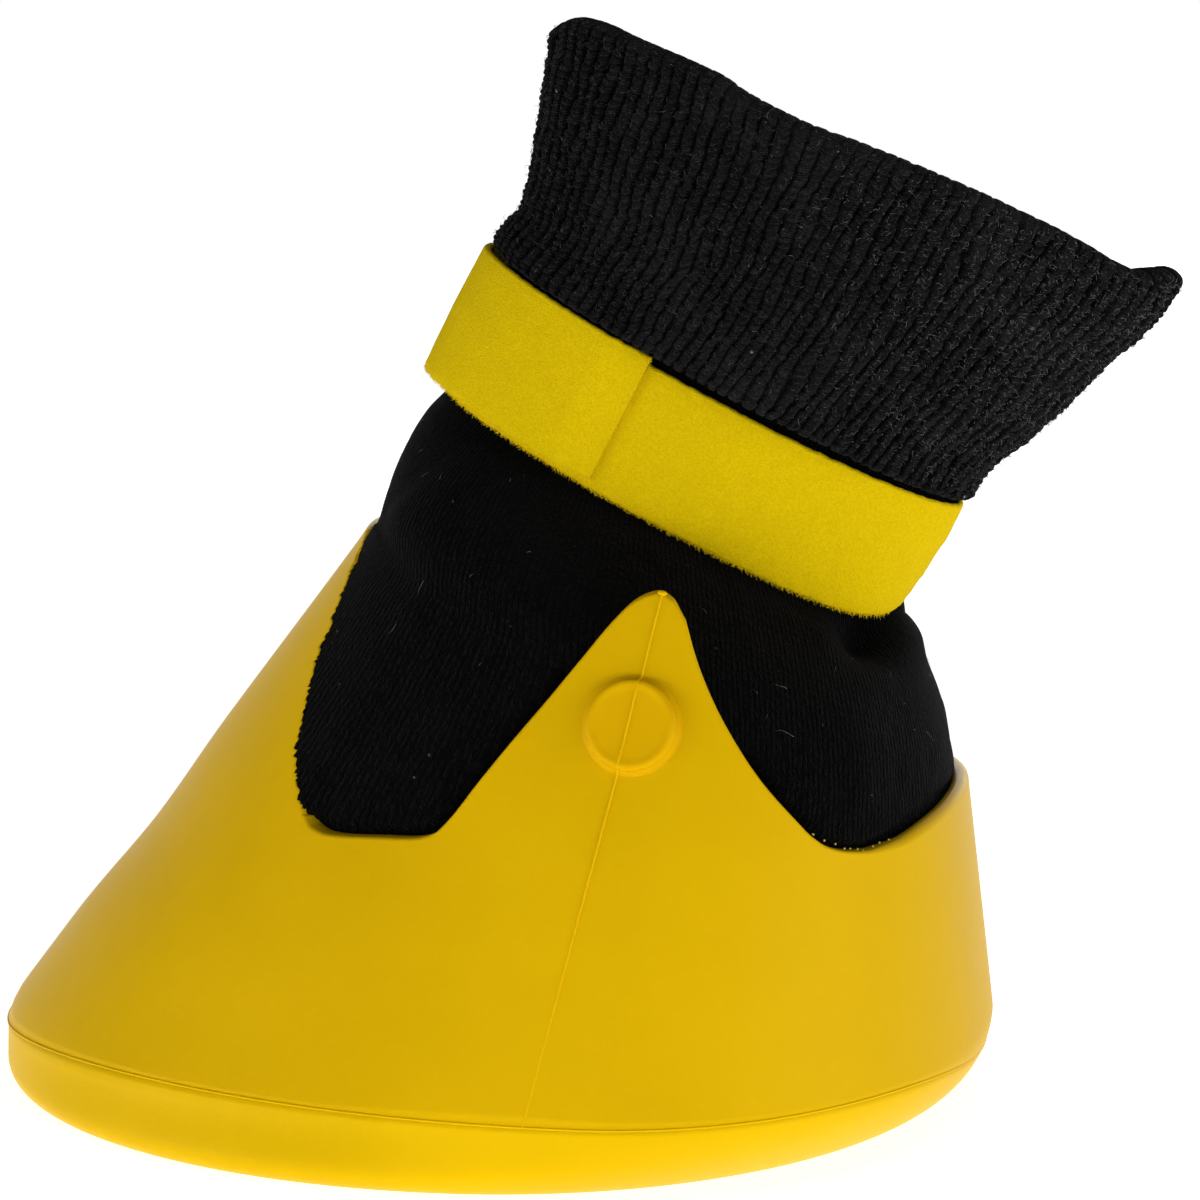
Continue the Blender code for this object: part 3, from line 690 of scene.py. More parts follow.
def tube_object(name, rings, material, flip=False, grid=None):
    """A tube whose last ring joins its first."""
    points, faces, uvs = tube_parts(rings, True, flip, grid)
    return mesh_object(name, points, faces, uvs, material)


def capped_parts(rings, start_too=True):
    """Points, faces and UVs of a tube with a flat face at its end, and at its start too."""
    points, faces, uvs = tube_parts(rings)
    faces = [list(face) for face in faces]
    columns = len(rings[0])
    if start_too:
        faces.append(list(range(columns))[::-1])
    faces.append(list(range(len(points) - columns, len(points))))
    corners = columns * (2 if start_too else 1)
    return points, faces, np.vstack([uvs, np.full((corners, 2), 0.5)])


def strand_parts(lines, radius, first):
    """Points and faces of thin three-sided strands that taper to their tips."""
    points = []
    faces = []
    for line in lines:
        line = np.asarray(line, float)
        start = first + len(points)
        for index, place in enumerate(line):
            ahead = line[min(index + 1, len(line) - 1)] - line[max(index - 1, 0)]
            direction = Vector(ahead).normalized()
            across = direction.orthogonal().normalized()
            beside = direction.cross(across)
            width = radius * (1 - 0.75 * index / (len(line) - 1))
            for side in range(3):
                turn = math.tau * side / 3
                offset = across * math.cos(turn) + beside * math.sin(turn)
                points.append(place + np.array(offset) * width)
        for index in range(len(line) - 1):
            base = start + 3 * index
            for side in range(3):
                other = (side + 1) % 3
                faces.append((base + side, base + other, base + 3 + other, base + 3 + side))
        faces.append((start + 2, start + 1, start))
        tip = start + 3 * (len(line) - 1)
        faces.append((tip, tip + 1, tip + 2))
    return points, faces


def blob_parts(centre, across, beside, out, sizes, first):
    """Points and faces of a small rounded blob with three half sizes."""
    points = [centre - out * sizes[2]]
    for lift in (-0.6, 0.0, 0.6):
        reach = math.sqrt(1 - lift * lift)
        for side in range(8):
            turn = math.tau * side / 8
            flat = across * (math.cos(turn) * reach * sizes[0])
            flat = flat + beside * (math.sin(turn) * reach * sizes[1])
            points.append(centre + flat + out * (lift * sizes[2]))
    points.append(centre + out * sizes[2])
    faces = []
    for side in range(8):
        other = (side + 1) % 8
        faces.append((first, first + 1 + other, first + 1 + side))
        for row in (0, 8):
            base = first + 1 + row
            faces.append((base + side, base + other, base + 8 + other, base + 8 + side))
        faces.append((first + 25, first + 17 + side, first + 17 + other))
    return points, faces


# Materials


class Signal:
    """A shader socket that takes part in Python expressions."""

    def __init__(self, board, socket):
        self.board = board
        self.socket = socket

    def maths(self, operation, *others):
        """The result of a Math node that takes this signal first."""
        settings = {"operation": operation}
        return self.board.value("ShaderNodeMath", settings, self, *others)

    def __add__(self, other):
        return self.maths("ADD", other)

    __radd__ = __add__

    def __sub__(self, other):
        return self.maths("SUBTRACT", other)

    def __rsub__(self, other):
        return self.board.value("ShaderNodeMath", {"operation": "SUBTRACT"}, other, self)

    def __mul__(self, other):
        return self.maths("MULTIPLY", other)

    __rmul__ = __mul__

    def __abs__(self):
        return self.maths("ABSOLUTE")

    def sine(self):
        return self.maths("SINE")

    def floor(self):
        return self.maths("FLOOR")

    def triangle(self):
        """A wave that goes from 0 to 1 and back for each whole number."""
        return self.maths("PINGPONG", 0.5) * 2

    def step(self, low, high):
        """A smooth step from 0 at low to 1 at high."""
        return self.board.value(
            "ShaderNodeMapRange", {"interpolation_type": "SMOOTHSTEP"}, self, low, high
        )


class Board:
    """A node tree, and the one method that adds a node to it."""

    def __init__(self, tree):
        self.tree = tree

    def node(self, kind, settings, *inputs, **named):
        """A node with its settings made first, then its sockets given values or links."""
        made = self.tree.nodes.new(kind)
        for key, value in settings.items():
            setattr(made, key, value)
        for index, value in enumerate(inputs):
            self.join(made.inputs[index], value)
        for key, value in named.items():
            self.join(made.inputs[key], value)
        return made

    def join(self, socket, value):
        """Gives a socket a plain value, or links a signal to it."""
        if isinstance(value, Signal):
            self.tree.links.new(value.socket, socket)
        else:
            socket.default_value = value

    def value(self, kind, settings, *inputs, **named):
        """A new node's first output, as a signal."""
        return Signal(self, self.node(kind, settings, *inputs, **named).outputs[0])

    def sheet_coordinates(self):
        """The two UV coordinates as signals."""
        whole = self.value("ShaderNodeUVMap", {"uv_map": "UVMap"})
        parts = self.node("ShaderNodeSeparateXYZ", {}, whole)
        return Signal(self, parts.outputs[0]), Signal(self, parts.outputs[1])

    def object_coordinates(self):
        return Signal(self, self.node("ShaderNodeTexCoord", {}).outputs["Object"])

    def noise(self, place, scale, detail=2.0, roughness=0.5):
        return self.value(
            "ShaderNodeTexNoise", {}, Vector=place, Scale=scale, Detail=detail, Roughness=roughness
        )

    def cells(self, place, scale):
        """Distance to the nearest of points that are scattered in space."""
        return self.value("ShaderNodeTexVoronoi", {"feature": "F1"}, Vector=place, Scale=scale)

    def chance(self, column, row):
        """A random value for each whole column and row."""
        cell = self.value("ShaderNodeCombineXYZ", {}, column.floor(), row.floor())
        return self.value("ShaderNodeTexWhiteNoise", {"noise_dimensions": "2D"}, Vector=cell)

    def colours(self, share, first, second):
        """The first colour where share is 0, the second where it is 1."""
        made = self.node("ShaderNodeMix", {"data_type": "RGBA", "clamp_factor": True})
        self.join(made.inputs["Factor"], share)
        self.join(made.inputs[6], first)
        self.join(made.inputs[7], second)
        return Signal(self, made.outputs[2])

    def bump(self, height, depth, strength=1.0, under=None):
        """A normal from a height, over the normal under it where one is given."""
        made = self.node("ShaderNodeBump", {}, Strength=strength, Distance=depth, Height=height)
        if under is not None:
            self.join(made.inputs["Normal"], under)
        return Signal(self, made.outputs[0])


class MaterialBoard(Board):
    """A new material's node tree, with its shader's uniform values set."""

    def __init__(self, name, colour, roughness, uniform):
        self.material = bpy.data.materials.new(name)
        self.material.use_nodes = True
        self.material.diffuse_color = colour
        super().__init__(self.material.node_tree)
        self.shader = self.tree.nodes["Principled BSDF"]
        uniform = {"Base Color": colour, "Roughness": roughness, **uniform}
        for key, value in uniform.items():
            self.shader.inputs[key].default_value = value

    def finish(self, **links):
        """Joins the varying signals to the shader and gives the finished material."""
        for key, value in links.items():
            self.join(self.shader.inputs[key.replace("_", " ").title()], value)
        return self.material


def scaled(colour, factor):
    """A lighter or darker colour of the same hue."""
    return tuple(min(part * factor, 1) for part in colour[:3]) + (1,)


def made_once(make):
    """Makes the function give the material of its first argument's name, made only once."""

    def found_or_made(name, *others):
        return bpy.data.materials.get(name) or make(name, *others)

    found_or_made.__doc__ = make.__doc__
    return found_or_made


@made_once
def rubber_material(name, colour):
    """Satin moulded rubber with soft unevenness and a faint bloom."""
    gloss = {"Specular IOR Level": 0.06, "Specular Tint": (1, 0.82, 0.15, 1)}
    board = MaterialBoard(name, colour, 0.38, gloss)
    place = board.object_coordinates()
    broad = board.noise(place, 22, 3).step(0.35, 0.68)
    fine = board.noise(place, 420, 3)
    speck = board.noise(place, 1500, 1)
    tone = board.colours(broad, scaled(colour, 0.94), colour)
    bloom = fine.step(0.55, 0.8) * 0.12
    tone = board.colours(bloom, tone, scaled(colour, 1.15))
    lumps = board.bump(board.noise(place, 75, 2), 0.5 * MM, 0.35)
    skin = board.bump(speck + fine * 0.6, 0.05 * MM, 0.5, lumps)
    return board.finish(
        base_color=tone, roughness=fine * 0.12 + broad * 0.05 + 0.33, normal=skin
    )


@made_once
def tape_material(name, colour):
    """Brushed loop tape: a short matted pile."""
    nap = {
        "Sheen Weight": 0.06, "Sheen Roughness": 0.5, "Sheen Tint": (1, 0.85, 0.15, 1),
        "Specular IOR Level": 0.02,
    }
    board = MaterialBoard(name, colour, 0.95, nap)
    place = board.object_coordinates()
    clumps = board.noise(place, 2100, 3, 0.7)
    fibres = board.noise(place, 4200, 3, 0.7)
    patches = board.noise(place, 150, 2)
    tone = board.colours(clumps.step(0.3, 0.7), scaled(colour, 0.88), scaled(colour, 1.05))
    tone = board.colours(fibres.step(0.5, 0.8) * 0.4, tone, scaled(colour, 1.3))
    tone = board.colours(patches.step(0.4, 0.7) * 0.12, tone, scaled(colour, 0.86))
    pile = board.bump(clumps + fibres * 0.8, 0.3 * MM, 0.7)
    return board.finish(base_color=tone, normal=pile)


@made_once
def knit_material(name, colour, ribs, knit):
    """Rib knit: rounded ribs with small slanted stitches along them, from the UVs."""
    nap = {"Sheen Weight": knit["fuzz"], "Sheen Roughness": 0.4, "Specular IOR Level": 0.02}
    board = MaterialBoard(name, colour, 0.85, nap)
    across, along = board.sheet_coordinates()
    place = board.object_coordinates()
    drift = board.noise(place, 330, 2) * knit["sway"]
    column = across * ribs + drift * 0.9
    crown = column.triangle()
    row = along * knit["rows"] + crown * 0.35 + drift * 1.2
    stitch = abs((row * math.pi).sine())
    chance = board.chance(column, row)
    yarn = board.noise(place, 2300, 3, 0.75)
    worn = board.noise(place, 60, 3)
    lift = crown.step(0.0, knit["flank"]) * (stitch * 0.5 + 0.3 + chance * 0.35)
    twist = abs((row * (math.pi * 3) + yarn * 2).sine()) * knit["crinkle"]
    lift = lift * (twist + (1 - knit["crinkle"]))
    patch = board.noise(place, 850, 2).step(0.42, 0.58) * knit["patchy"]
    lift = lift * (patch + (1 - knit["patchy"]))
    # The grooves are painted darker and the ribs' crowns lighter: a painted shade in the grooves
    # and a painted highlight on the crowns.
    grooves, crown_highlight_tone = scaled(colour, knit["groove"]), scaled(colour, 1.6)
    tone = board.colours(lift.step(0.1, 0.95), grooves, crown_highlight_tone)
    tone = board.colours(chance.step(0.5, 1.0) * 0.5, tone, scaled(colour, 2.4))
    tone = board.colours(yarn.step(0.6, 0.38) * 0.85, tone, scaled(colour, 0.2))
    tone = board.colours(yarn.step(0.56, 0.74) * 0.8, tone, scaled(colour, 4))
    tone = board.colours(worn.step(0.45, 0.7) * 0.35, tone, scaled(colour, 2.0))
    few = board.noise(place, 130, 1).step(0.58, 0.63)
    dots = board.cells(place, 240).step(0.085, 0.05) * few * knit["lint"]
    tone = board.colours(dots, tone, (0.2, 0.19, 0.19, 1))
    height = lift * knit["relief"] + yarn * 0.9
    return board.finish(base_color=tone, normal=board.bump(height, knit["rise"]))


@made_once
def foam_material(name, colour):
    """Closed-cell foam with a fine pitted skin."""
    board = MaterialBoard(name, colour, 0.85, {})
    cells = board.cells(board.object_coordinates(), 900)
    # The pits are painted darker and their rims lighter: a painted shade in the pits.
    tone = board.colours(cells.step(0.1, 0.7), scaled(colour, 0.6), scaled(colour, 1.25))
    return board.finish(base_color=tone, normal=board.bump(cells, 0.3 * MM, 0.6))


@made_once
def hook_material(name, colour):
    """Hook tape: rows of tiny moulded hooks."""
    board = MaterialBoard(name, colour, 0.6, {})
    across, along = board.sheet_coordinates()
    hooks = (across * 26).triangle() * (along * 22).triangle()
    # Painted shade between the hooks and a painted highlight on their tops.
    tone = board.colours(hooks.step(0.2, 0.7), scaled(colour, 0.5), scaled(colour, 2.2))
    return board.finish(base_color=tone, normal=board.bump(hooks, 0.6 * MM))


@made_once
def thread_material(name, colour, roughness):
    """Twisted thread, lint and other single fibres."""
    board = MaterialBoard(name, colour, roughness, {"Specular IOR Level": 0.1})
    fibres = board.noise(board.object_coordinates(), 4000, 2)
    tone = board.colours(fibres, scaled(colour, 0.75), scaled(colour, 1.15))
    return board.finish(base_color=tone, normal=board.bump(fibres, 0.1 * MM, 0.5))


def sizes():
    return bpy.context.scene.hoof_boot_sizes


def colours():
    return bpy.context.scene.hoof_boot_colours


def wall_rubber():
    return rubber_material("wall_rubber", tuple(colours().wall))


# The sole's rubber is lighter than the wall's, painted light from the floor below it.
def sole_rubber():
    return rubber_material("sole_rubber", tuple(colours().sole))


def flash_rubber():
    """The thin lines that the mould leaves catch more light than the faces beside them."""
    return rubber_material("flash_rubber", scaled(tuple(colours().wall), 1.12))


def tape():
    return tape_material("brushed_tape", tuple(colours().tape))


# The loose pile along the tape's edges and cut end is painted a quarter lighter than the tape, a
# painted highlight on the thin fibres.
def loose_pile():
    return thread_material("loose_pile", scaled(tuple(colours().tape), 1.25), 0.8)


def sock_knit():
    return knit_material("fine_rib_knit", tuple(colours().sock), sizes().sock_ribs, FINE_KNIT)


def cuff_knit():
    return knit_material("coarse_rib_knit", tuple(colours().cuff), sizes().cuff_ribs, COARSE_KNIT)


def lint():
    return thread_material("lint", (0.14, 0.13, 0.13, 1), 0.9)


def cuff_fuzz(name, brightness):
    """Fibres of the cuff's own yarn, which catch more light than it does."""
    return thread_material(name, scaled(tuple(colours().cuff), brightness), 0.95)


def boss_rubber():
    """The bosses are a little more orange than the wall, which is thin beside them."""
    red, green, blue = colours().wall[:3]
    return rubber_material("boss_rubber", (red * 1.04, green * 0.97, blue, 1))


def settle(piece, slot, *nodes, body=BOOT):
    """Puts a finished piece on its body, with its slot and the CAD nodes that it stands for."""
    if nodes:
        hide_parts(*nodes)
    if body:
        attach(piece, body)
    return piece


# Pieces


def edge_rounding(turn):
    """Rounding of the wall's edge, larger at the heel."""
    return mix(sizes().window_edge, sizes().heel_edge, smooth((turn - 0.74) / 0.1))


def on_tongue(turn):
    """1 along the sides of the toe tongue, where the knit meets the rubber raggedly."""
    return smooth((turn - 0.02) / 0.04) * (1 - smooth((turn - 0.25) / 0.03))


def wall_rings(rim):
    """Rings of the wall, up the outer face, over the rounded edge and down the inner face."""
    wall = sizes().wall
    ragged = on_tongue(rim.turn)
    rounding = edge_rounding(rim.turn) * (1 - 0.5 * ragged)
    bite = (1.25 * edge_raggedness(rim, 7) - 1.3 * MM) * ragged
    band = mix(1.2 * rounding, 2.6 * MM, ragged)
    top_angle, top_height = rim.moved(band)
    foot = line_height(rim.angle)

    def face(share, inset):
        """A ring at this share of the way from the foot to the band along the rim."""
        angle = mix(rim.angle, top_angle, share)
        return wall_surface(angle, mix(foot, top_height, share), inset)

    def edge(turn):
        """The rounded edge at this turn: its angle, its height and its depth in the wall."""
        angle, height = rim.moved(rounding * (1 - math.sin(turn)) + bite)
        return angle, height, rounding * (1 - math.cos(turn))

    rings = [face(share, 0) for share in 1 - (1 - np.linspace(0, 1, 52)) ** 1.15]
    for share in (0.3, 0.6, 0.85):
        angle, height = rim.moved(mix(band, rounding + bite, share))
        rings.append(wall_surface(angle, height, 0))
    turns = np.linspace(0, math.pi / 2, 6)
    rings += [wall_surface(*edge(turn)) for turn in turns]
    for turn in reversed(turns):
        angle, height, depth = edge(turn)
        rings.append(wall_surface(angle, height, wall - depth))
    return rings + [face(share, wall) for share in np.linspace(1, 0, 9)[1:]]


class HOOFBOOT_OT_wall(bpy.types.Operator):
    """Make the moulded wall with its tongue, windows and peaks"""

    bl_idname = "hoofboot.wall"
    bl_label = "Wall"

    def execute(self, context):
        piece = tube_object("wall", wall_rings(Rim(0.4 * MM)), wall_rubber())
        settle(piece, "moulded_rubber", "shell")
        return {"FINISHED"}


class HOOFBOOT_OT_bosses(bpy.types.Operator):
    """Make the round bosses on the sides of the wall"""

    bl_idname = "hoofboot.bosses"
    bl_label = "Bosses"

    def execute(self, context):
        radius = sizes().boss / 2
        proud = sizes().boss_proud
        edge = 0.95 * MM
        profile = [
            (radius + 1.3 * MM, -0.2 * MM), (radius + 0.8 * MM, 0.02 * MM),
            (radius + 0.4 * MM, 0.1 * MM), (radius + 0.15 * MM, 0.28 * MM),
            (radius + 0.05 * MM, 0.6 * MM),
        ]
        for turn in np.linspace(0, math.pi / 2, 7):
            profile.append(
                (radius - edge * (1 - math.cos(turn)), proud - edge * (1 - math.sin(turn)))
            )
        profile += [
            (radius - 1.3 * MM, proud - 0.03 * MM), (radius - 1.75 * MM, proud - 0.16 * MM),
            (radius - 2.3 * MM, proud - 0.2 * MM), (radius * 0.45, proud - 0.2 * MM),
            (radius * 0.08, proud - 0.2 * MM),
        ]
        turns = full_turn(72)[:, None]
        for name, side in (("boss_near", 1), ("boss_far", -1)):
            angle = side * math.pi * BOSS_TURN
            centre = wall_surface(angle, BOSS_HEIGHT, 0)
            facing = wall_facing(angle, BOSS_HEIGHT)
            across = unit(np.cross(facing, (0, 0, 1)))
            round_it = np.cos(turns) * across + np.sin(turns) * np.cross(across, facing)
            rings = [
                (on_wall(centre + reach * round_it, facing) + facing * lift)[::-1]
                for reach, lift in profile
            ]
            piece = mesh_object(name, *capped_parts(rings, start_too=False), boss_rubber())
            settle(piece, "moulded_rubber")
        return {"FINISHED"}


def on_wall(points, facing):
    """Points moved along this direction onto the wall's outer face."""
    points = np.array(points, float)
    for attempt in range(6):
        angle = wall_angle_at(points)
        surface = wall_surface(angle, points[:, 2], 0)
        normal = wall_facing(angle, points[:, 2])
        gap = dot(surface - points, normal) / (normal @ facing)
        points = points + gap[:, None] * facing
    return points


def wall_angle_at(points):
    """The wall's angle nearest to each point, at that point's height."""
    height = points[:, 2]
    toe = wall_surface(0.0, height, 0)[:, 0]
    heel = wall_surface(math.pi, height, 0)[:, 0]
    side = -wall_surface(math.pi / 2, height, 0)[:, 1]
    widest = mix(toe, heel, WIDEST_SHARE)
    reach = np.where(points[:, 0] < widest, widest - toe, heel - widest)
    return np.arctan2(-points[:, 1] / side, (widest - points[:, 0]) / reach)


def bead_rings(line, outward, width, proud, strength):
    """Rings of a low rounded line that lies on a face."""
    line = np.asarray(line, float)
    ahead = unit(np.gradient(line, axis=0))
    across = unit(np.cross(outward, ahead))
    rings = []
    turns = full_turn(8)[:, None]
    for place, out, side, share in zip(line, outward, across, strength):
        flat = side * np.cos(turns) * width / 2 * mix(0.6, 1, share)
        rings.append(place + flat + out * np.sin(turns) * proud * share)
    return rings


class HOOFBOOT_OT_mould_lines(bpy.types.Operator):
    """Make the thin raised lines that the mould leaves round the foot and up the sides"""

    bl_idname = "hoofboot.mould_lines"
    bl_label = "Mould lines"

    def execute(self, context):
        width = sizes().mould_line
        for name, side in (("mould_line_near", 1), ("mould_line_far", -1)):
            height = np.linspace(SOLE_LINE, PEAK_TOP - 0.2 * MM, 160)
            angle = side * np.radians(86 - 0.5 * smooth((height - 74 * MM) / (30 * MM)))
            line = wall_surface(angle, height, 0)
            outward = wall_facing(angle, height)
            centre = wall_surface(side * math.pi * BOSS_TURN, BOSS_HEIGHT, 0)
            away = np.linalg.norm(line - centre, axis=1)
            step = smooth((sizes().boss / 2 + 0.3 * MM - away) / (0.6 * MM))
            line = line + outward * (step * (sizes().boss_proud - 0.22 * MM))[:, None]
            strength = mix(0.3, 1, smooth((height - 20 * MM) / (45 * MM)))
            rings = bead_rings(line, outward, width, 0.3 * MM, strength)
            points, faces = tube_parts(rings, flip=side > 0)[:2]
            along = unit(line[-1] - line[-2])
            across = np.cross(along, outward[-1])
            half_sizes = (0.9 * MM, 0.5 * MM, 0.42 * MM)
            tip, tip_faces = blob_parts(
                line[-1] + along * 0.25 * MM, across, along, outward[-1], half_sizes, len(points)
            )
            faces = faces.tolist() + tip_faces
            piece = mesh_object(name, np.vstack([points, tip]), faces, None, flash_rubber())
            settle(piece, "moulded_rubber")
        angle = full_turn(480)
        line = wall_surface(angle, line_height(angle), 0)
        turns = full_turn(8)[:, None]
        outward = 0.13 * MM * np.cos(turns)
        upward = 0.2 * MM * np.sin(turns) * (0, 0, 1)
        rings = [place + way * outward + upward for place, way in zip(line, unit(line * (1, 1, 0)))]
        piece = tube_object("mould_line_foot", rings, flash_rubber(), flip=True)
        settle(piece, "moulded_rubber")
        return {"FINISHED"}


class HOOFBOOT_OT_sole(bpy.types.Operator):
    """Make the moulded sole with its rounded edge and tread"""

    bl_idname = "hoofboot.sole"
    bl_label = "Sole"

    def execute(self, context):
        wall = sizes().wall
        angle = even_turns(lambda turn: wall_surface(turn, 0.0, 0), 480)
        rings = []
        for share in 1 - np.cos(np.linspace(0, math.pi / 2, 18)):
            rings.append(wall_surface(angle, line_height(angle) * share, 0))
        for height in (line_height(angle), SOLE_FLOOR):
            rings.append(wall_surface(angle, height, wall))
        base = rings[0]
        centre = np.array((0.006, 0, 0))
        underside = []
        for share in np.linspace(0.02, 1, 60):
            ring = centre + (base - centre) * share
            ring[:, 2] = tread_lift(ring, share)
            underside.append(ring)
        rings = underside[:-1] + rings
        piece = mesh_object("sole", *capped_parts(rings), sole_rubber())
        settle(piece, "moulded_rubber", "outsole")
        return {"FINISHED"}


def tread_lift(points, share):
    """Height of the underside: shallow bars across it, that stop short of its edge."""
    pitch = 15 * MM
    inside = smooth((0.88 - share) / 0.02)
    away = np.abs(np.mod(points[:, 0], pitch) - pitch / 2)
    return 1.6 * MM * inside * smooth((1.6 * MM - away) / (0.8 * MM))


def sock_outer(rim, angle):
    """Rings of the sock's outer face, from its foot up into the cuff."""
    under_wall = sizes().wall + SOCK_CLEARANCE
    in_cuff = CUFF_FABRIC + SOCK_CLEARANCE
    rings = [
        wall_surface(angle, SOCK_FOOT, under_wall),
        wall_surface(angle, 17 * MM, under_wall),
        rim_plane_section(angle, 62 * MM, 44 * MM, under_wall),
        rim_plane_section(angle, TONGUE_TOP, HEEL_RIM, under_wall),
    ]
    rings += [neck_section(angle, share, under_wall, 0) for share in (0.3, 0.55, 0.8)]
    rings.append(strap_section(angle, -STRAP_WIDTH / 2, 0))
    rings.append(strap_section(angle, STRAP_WIDTH / 2, 0))
    rings += [cuff_section(angle, share, in_cuff) for share in (0.34, 0.7, 0.9)]
    steps = (3, 24, 40, 14, 12, 12, 12, 14, 10, 10, 6)
    rings = through(rings, steps)
    return fill_windows(rings, rim, angle, steps)


def depth_in_wall(points):
    """How deep points lie under the wall's outer face."""
    flat = points.reshape(-1, 3)
    angle = wall_angle_at(flat)
    over = wall_surface(angle, flat[:, 2], 0) - flat
    return dot(over, wall_facing(angle, flat[:, 2])).reshape(points.shape[:-1])


def fill_windows(rings, rim, angle, steps):
    """Lets the knit swell out of the wall's windows, nearly flush with the wall's face.

    Gives the rows, and how far behind them the inner face lies deeper where the wall covers them.
    """
    first = sum(steps[:1])
    rows = np.array(rings)
    ragged = on_tongue(half_turn(angle))
    wall_rows = sum(steps[:3]) + 1
    neck_rows = sum(steps[:7])
    grid_angle = np.broadcast_to(angle, rows.shape[:2])
    turn = half_turn(grid_angle)
    open_here = smooth((turn - 0.015) / 0.05) * (1 - 0.65 * smooth((turn - 0.74) / 0.12))
    part = slice(first, wall_rows)
    above = np.full(rows.shape[:2], 1.0)
    above[:first] = -1
    above[part] = distance_to_rim(grid_angle[part], rows[part, :, 2], rim)
    above[wall_rows:] = 5 * MM
    climb = (np.arange(len(rows)) - wall_rows) / (neck_rows - wall_rows)
    reach = mix(0.3, 1, smooth((turn - 0.1) / 0.15))
    fade = 1 - smooth(climb[:, None] / reach)
    deep = np.full(rows.shape[:2], sizes().wall + SOCK_CLEARANCE)
    deep[part] = depth_in_wall(rows[part])
    deep = deep - mix(sizes().sock_flush, TONGUE_FLUSH, ragged)
    start = 1.2 * MM * smooth((turn - 0.74) / 0.12) - 4.2 * MM * ragged
    swell = deep * smooth((above - start) / (1.2 * MM)) * open_here * fade
    facing = grid_facing(rows)
    covered = swell * (1 - smooth(above / (1.2 * MM) - 0.5))
    return rows + facing * swell[..., None], covered


def grid_facing(rows):
    """Outward unit vectors of a grid of rings that go round."""
    along = np.roll(rows, -1, axis=1) - np.roll(rows, 1, axis=1)
    up = np.gradient(rows, axis=0)
    return unit(np.cross(along, up))


def press_folds(rows):
    """Soft dents and folds of the knit below the strap."""
    facing = grid_facing(rows)
    lift = np.zeros(rows.shape[:2])
    for centre, spread, depth in FOLDS:
        gap = (rows / MM - np.array(centre)) / np.array(spread)
        lift += depth * MM * np.exp(-dot(gap, gap))
    slow = wobble(rows[..., 0] * 210 + rows[..., 1] * 130, 3) * wobble(rows[..., 2] * 190, 5)
    lift += 0.28 * MM * slow
    return rows + facing * lift[..., None]


class HOOFBOOT_OT_sock(bpy.types.Operator):
    """Make the knitted sock"""

    bl_idname = "hoofboot.sock"
    bl_label = "Sock"

    def execute(self, context):
        rim = Rim(1.0 * MM)
        angle = full_turn(360)
        outer, covered = sock_outer(rim, angle)
        outer = press_folds(outer)
        facing = grid_facing(outer)
        inner = outer - facing * (SOCK_THICKNESS - 0.4 * MM + covered)[..., None]
        lining = list(inner[::-3]) + [inner[0]]
        rings = list(outer) + lining
        along = np.concatenate([np.linspace(0, 1, len(outer)), np.linspace(1, 0, len(lining)), [0]])
        grid = even_grid(along, len(angle))
        piece = tube_object("sock", rings, sock_knit(), grid=grid)
        settle(piece, "sock_knit", "sock_body")
        reach = (0.8 * MM, 5 * MM)
        upper = outer[SOCK_LINT_ROWS]
        bare = upper[..., 2] > rim_height(angle) + 5 * MM
        piece = lint_object("sock_lint", upper, 60, reach, 0.2 * MM, 59, lint(), bare=bare)
        settle(piece, "sock_knit")
        return {"FINISHED"}


def edge_raggedness(rim, seed):
    """How far the rubber's edge strays down along the rim, in metres: bites with lumps."""
    source = np.random.RandomState(seed)
    count = len(rim.angle)
    length = np.linalg.norm(np.roll(rim.points, -1, axis=0) - rim.points, axis=1)
    along = np.cumsum(length)
    lumps = along / (1.5 * MM) + 0.8 * wobble(along * 260, seed)
    size = source.uniform(0.15, 1.25, 2000)[np.floor(lumps).astype(int) % 2000]
    scallops = np.abs(np.sin(math.pi * lumps)) ** 0.7 * size
    steps = np.repeat(source.uniform(-1, 1, count // 14 + 1), 14)[:count]
    steps = np.convolve(np.concatenate([steps[-2:], steps, steps[:2]]), np.ones(5) / 5, "valid")
    grain = source.uniform(-1, 1, count)
    return (0.8 * scallops + 0.25 * steps + 0.1 * grain) * MM


class HOOFBOOT_OT_window_bleed(bpy.types.Operator):
    """Make the specks of rubber that bled through the knit at the rear windows"""

    bl_idname = "hoofboot.window_bleed"
    bl_label = "Window specks"

    def execute(self, context):
        rim = Rim(0.45 * MM)
        source = random.Random(11)
        points = []
        faces = []
        index = 0
        while index < len(rim.angle):
            turn = rim.turn[index]
            if not BLEED_FROM < turn < BLEED_TO:
                index += 1
                continue
            down = -(0.35 + 0.5 * source.random() + 0.25 * math.sin(turn * 90)) * MM
            angle = rim.angle[index] + rim.down_angle[index] * down
            height = rim.height[index] + rim.down_height[index] * down
            centre = wall_surface(angle, height, 0.3 * MM)
            along, out = rim.tangent[index], rim.normal[index]
            wide = (0.12 + 0.15 * source.random()) * MM
            half_sizes = (wide * source.uniform(0.8, 1.5), wide, 0.2 * MM)
            speck, speck_faces = blob_parts(
                centre, along, np.cross(out, along), out, half_sizes, len(points)
            )
            points += speck
            faces += speck_faces
            index += source.choice((3, 4, 5, 6))
        bleed = thread_material("rubber_bleed", (0.36, 0.30, 0.06, 1), 0.55)
        piece = mesh_object("rubber_bleed", points, faces, None, bleed)
        settle(piece, "moulded_rubber")
        return {"FINISHED"}


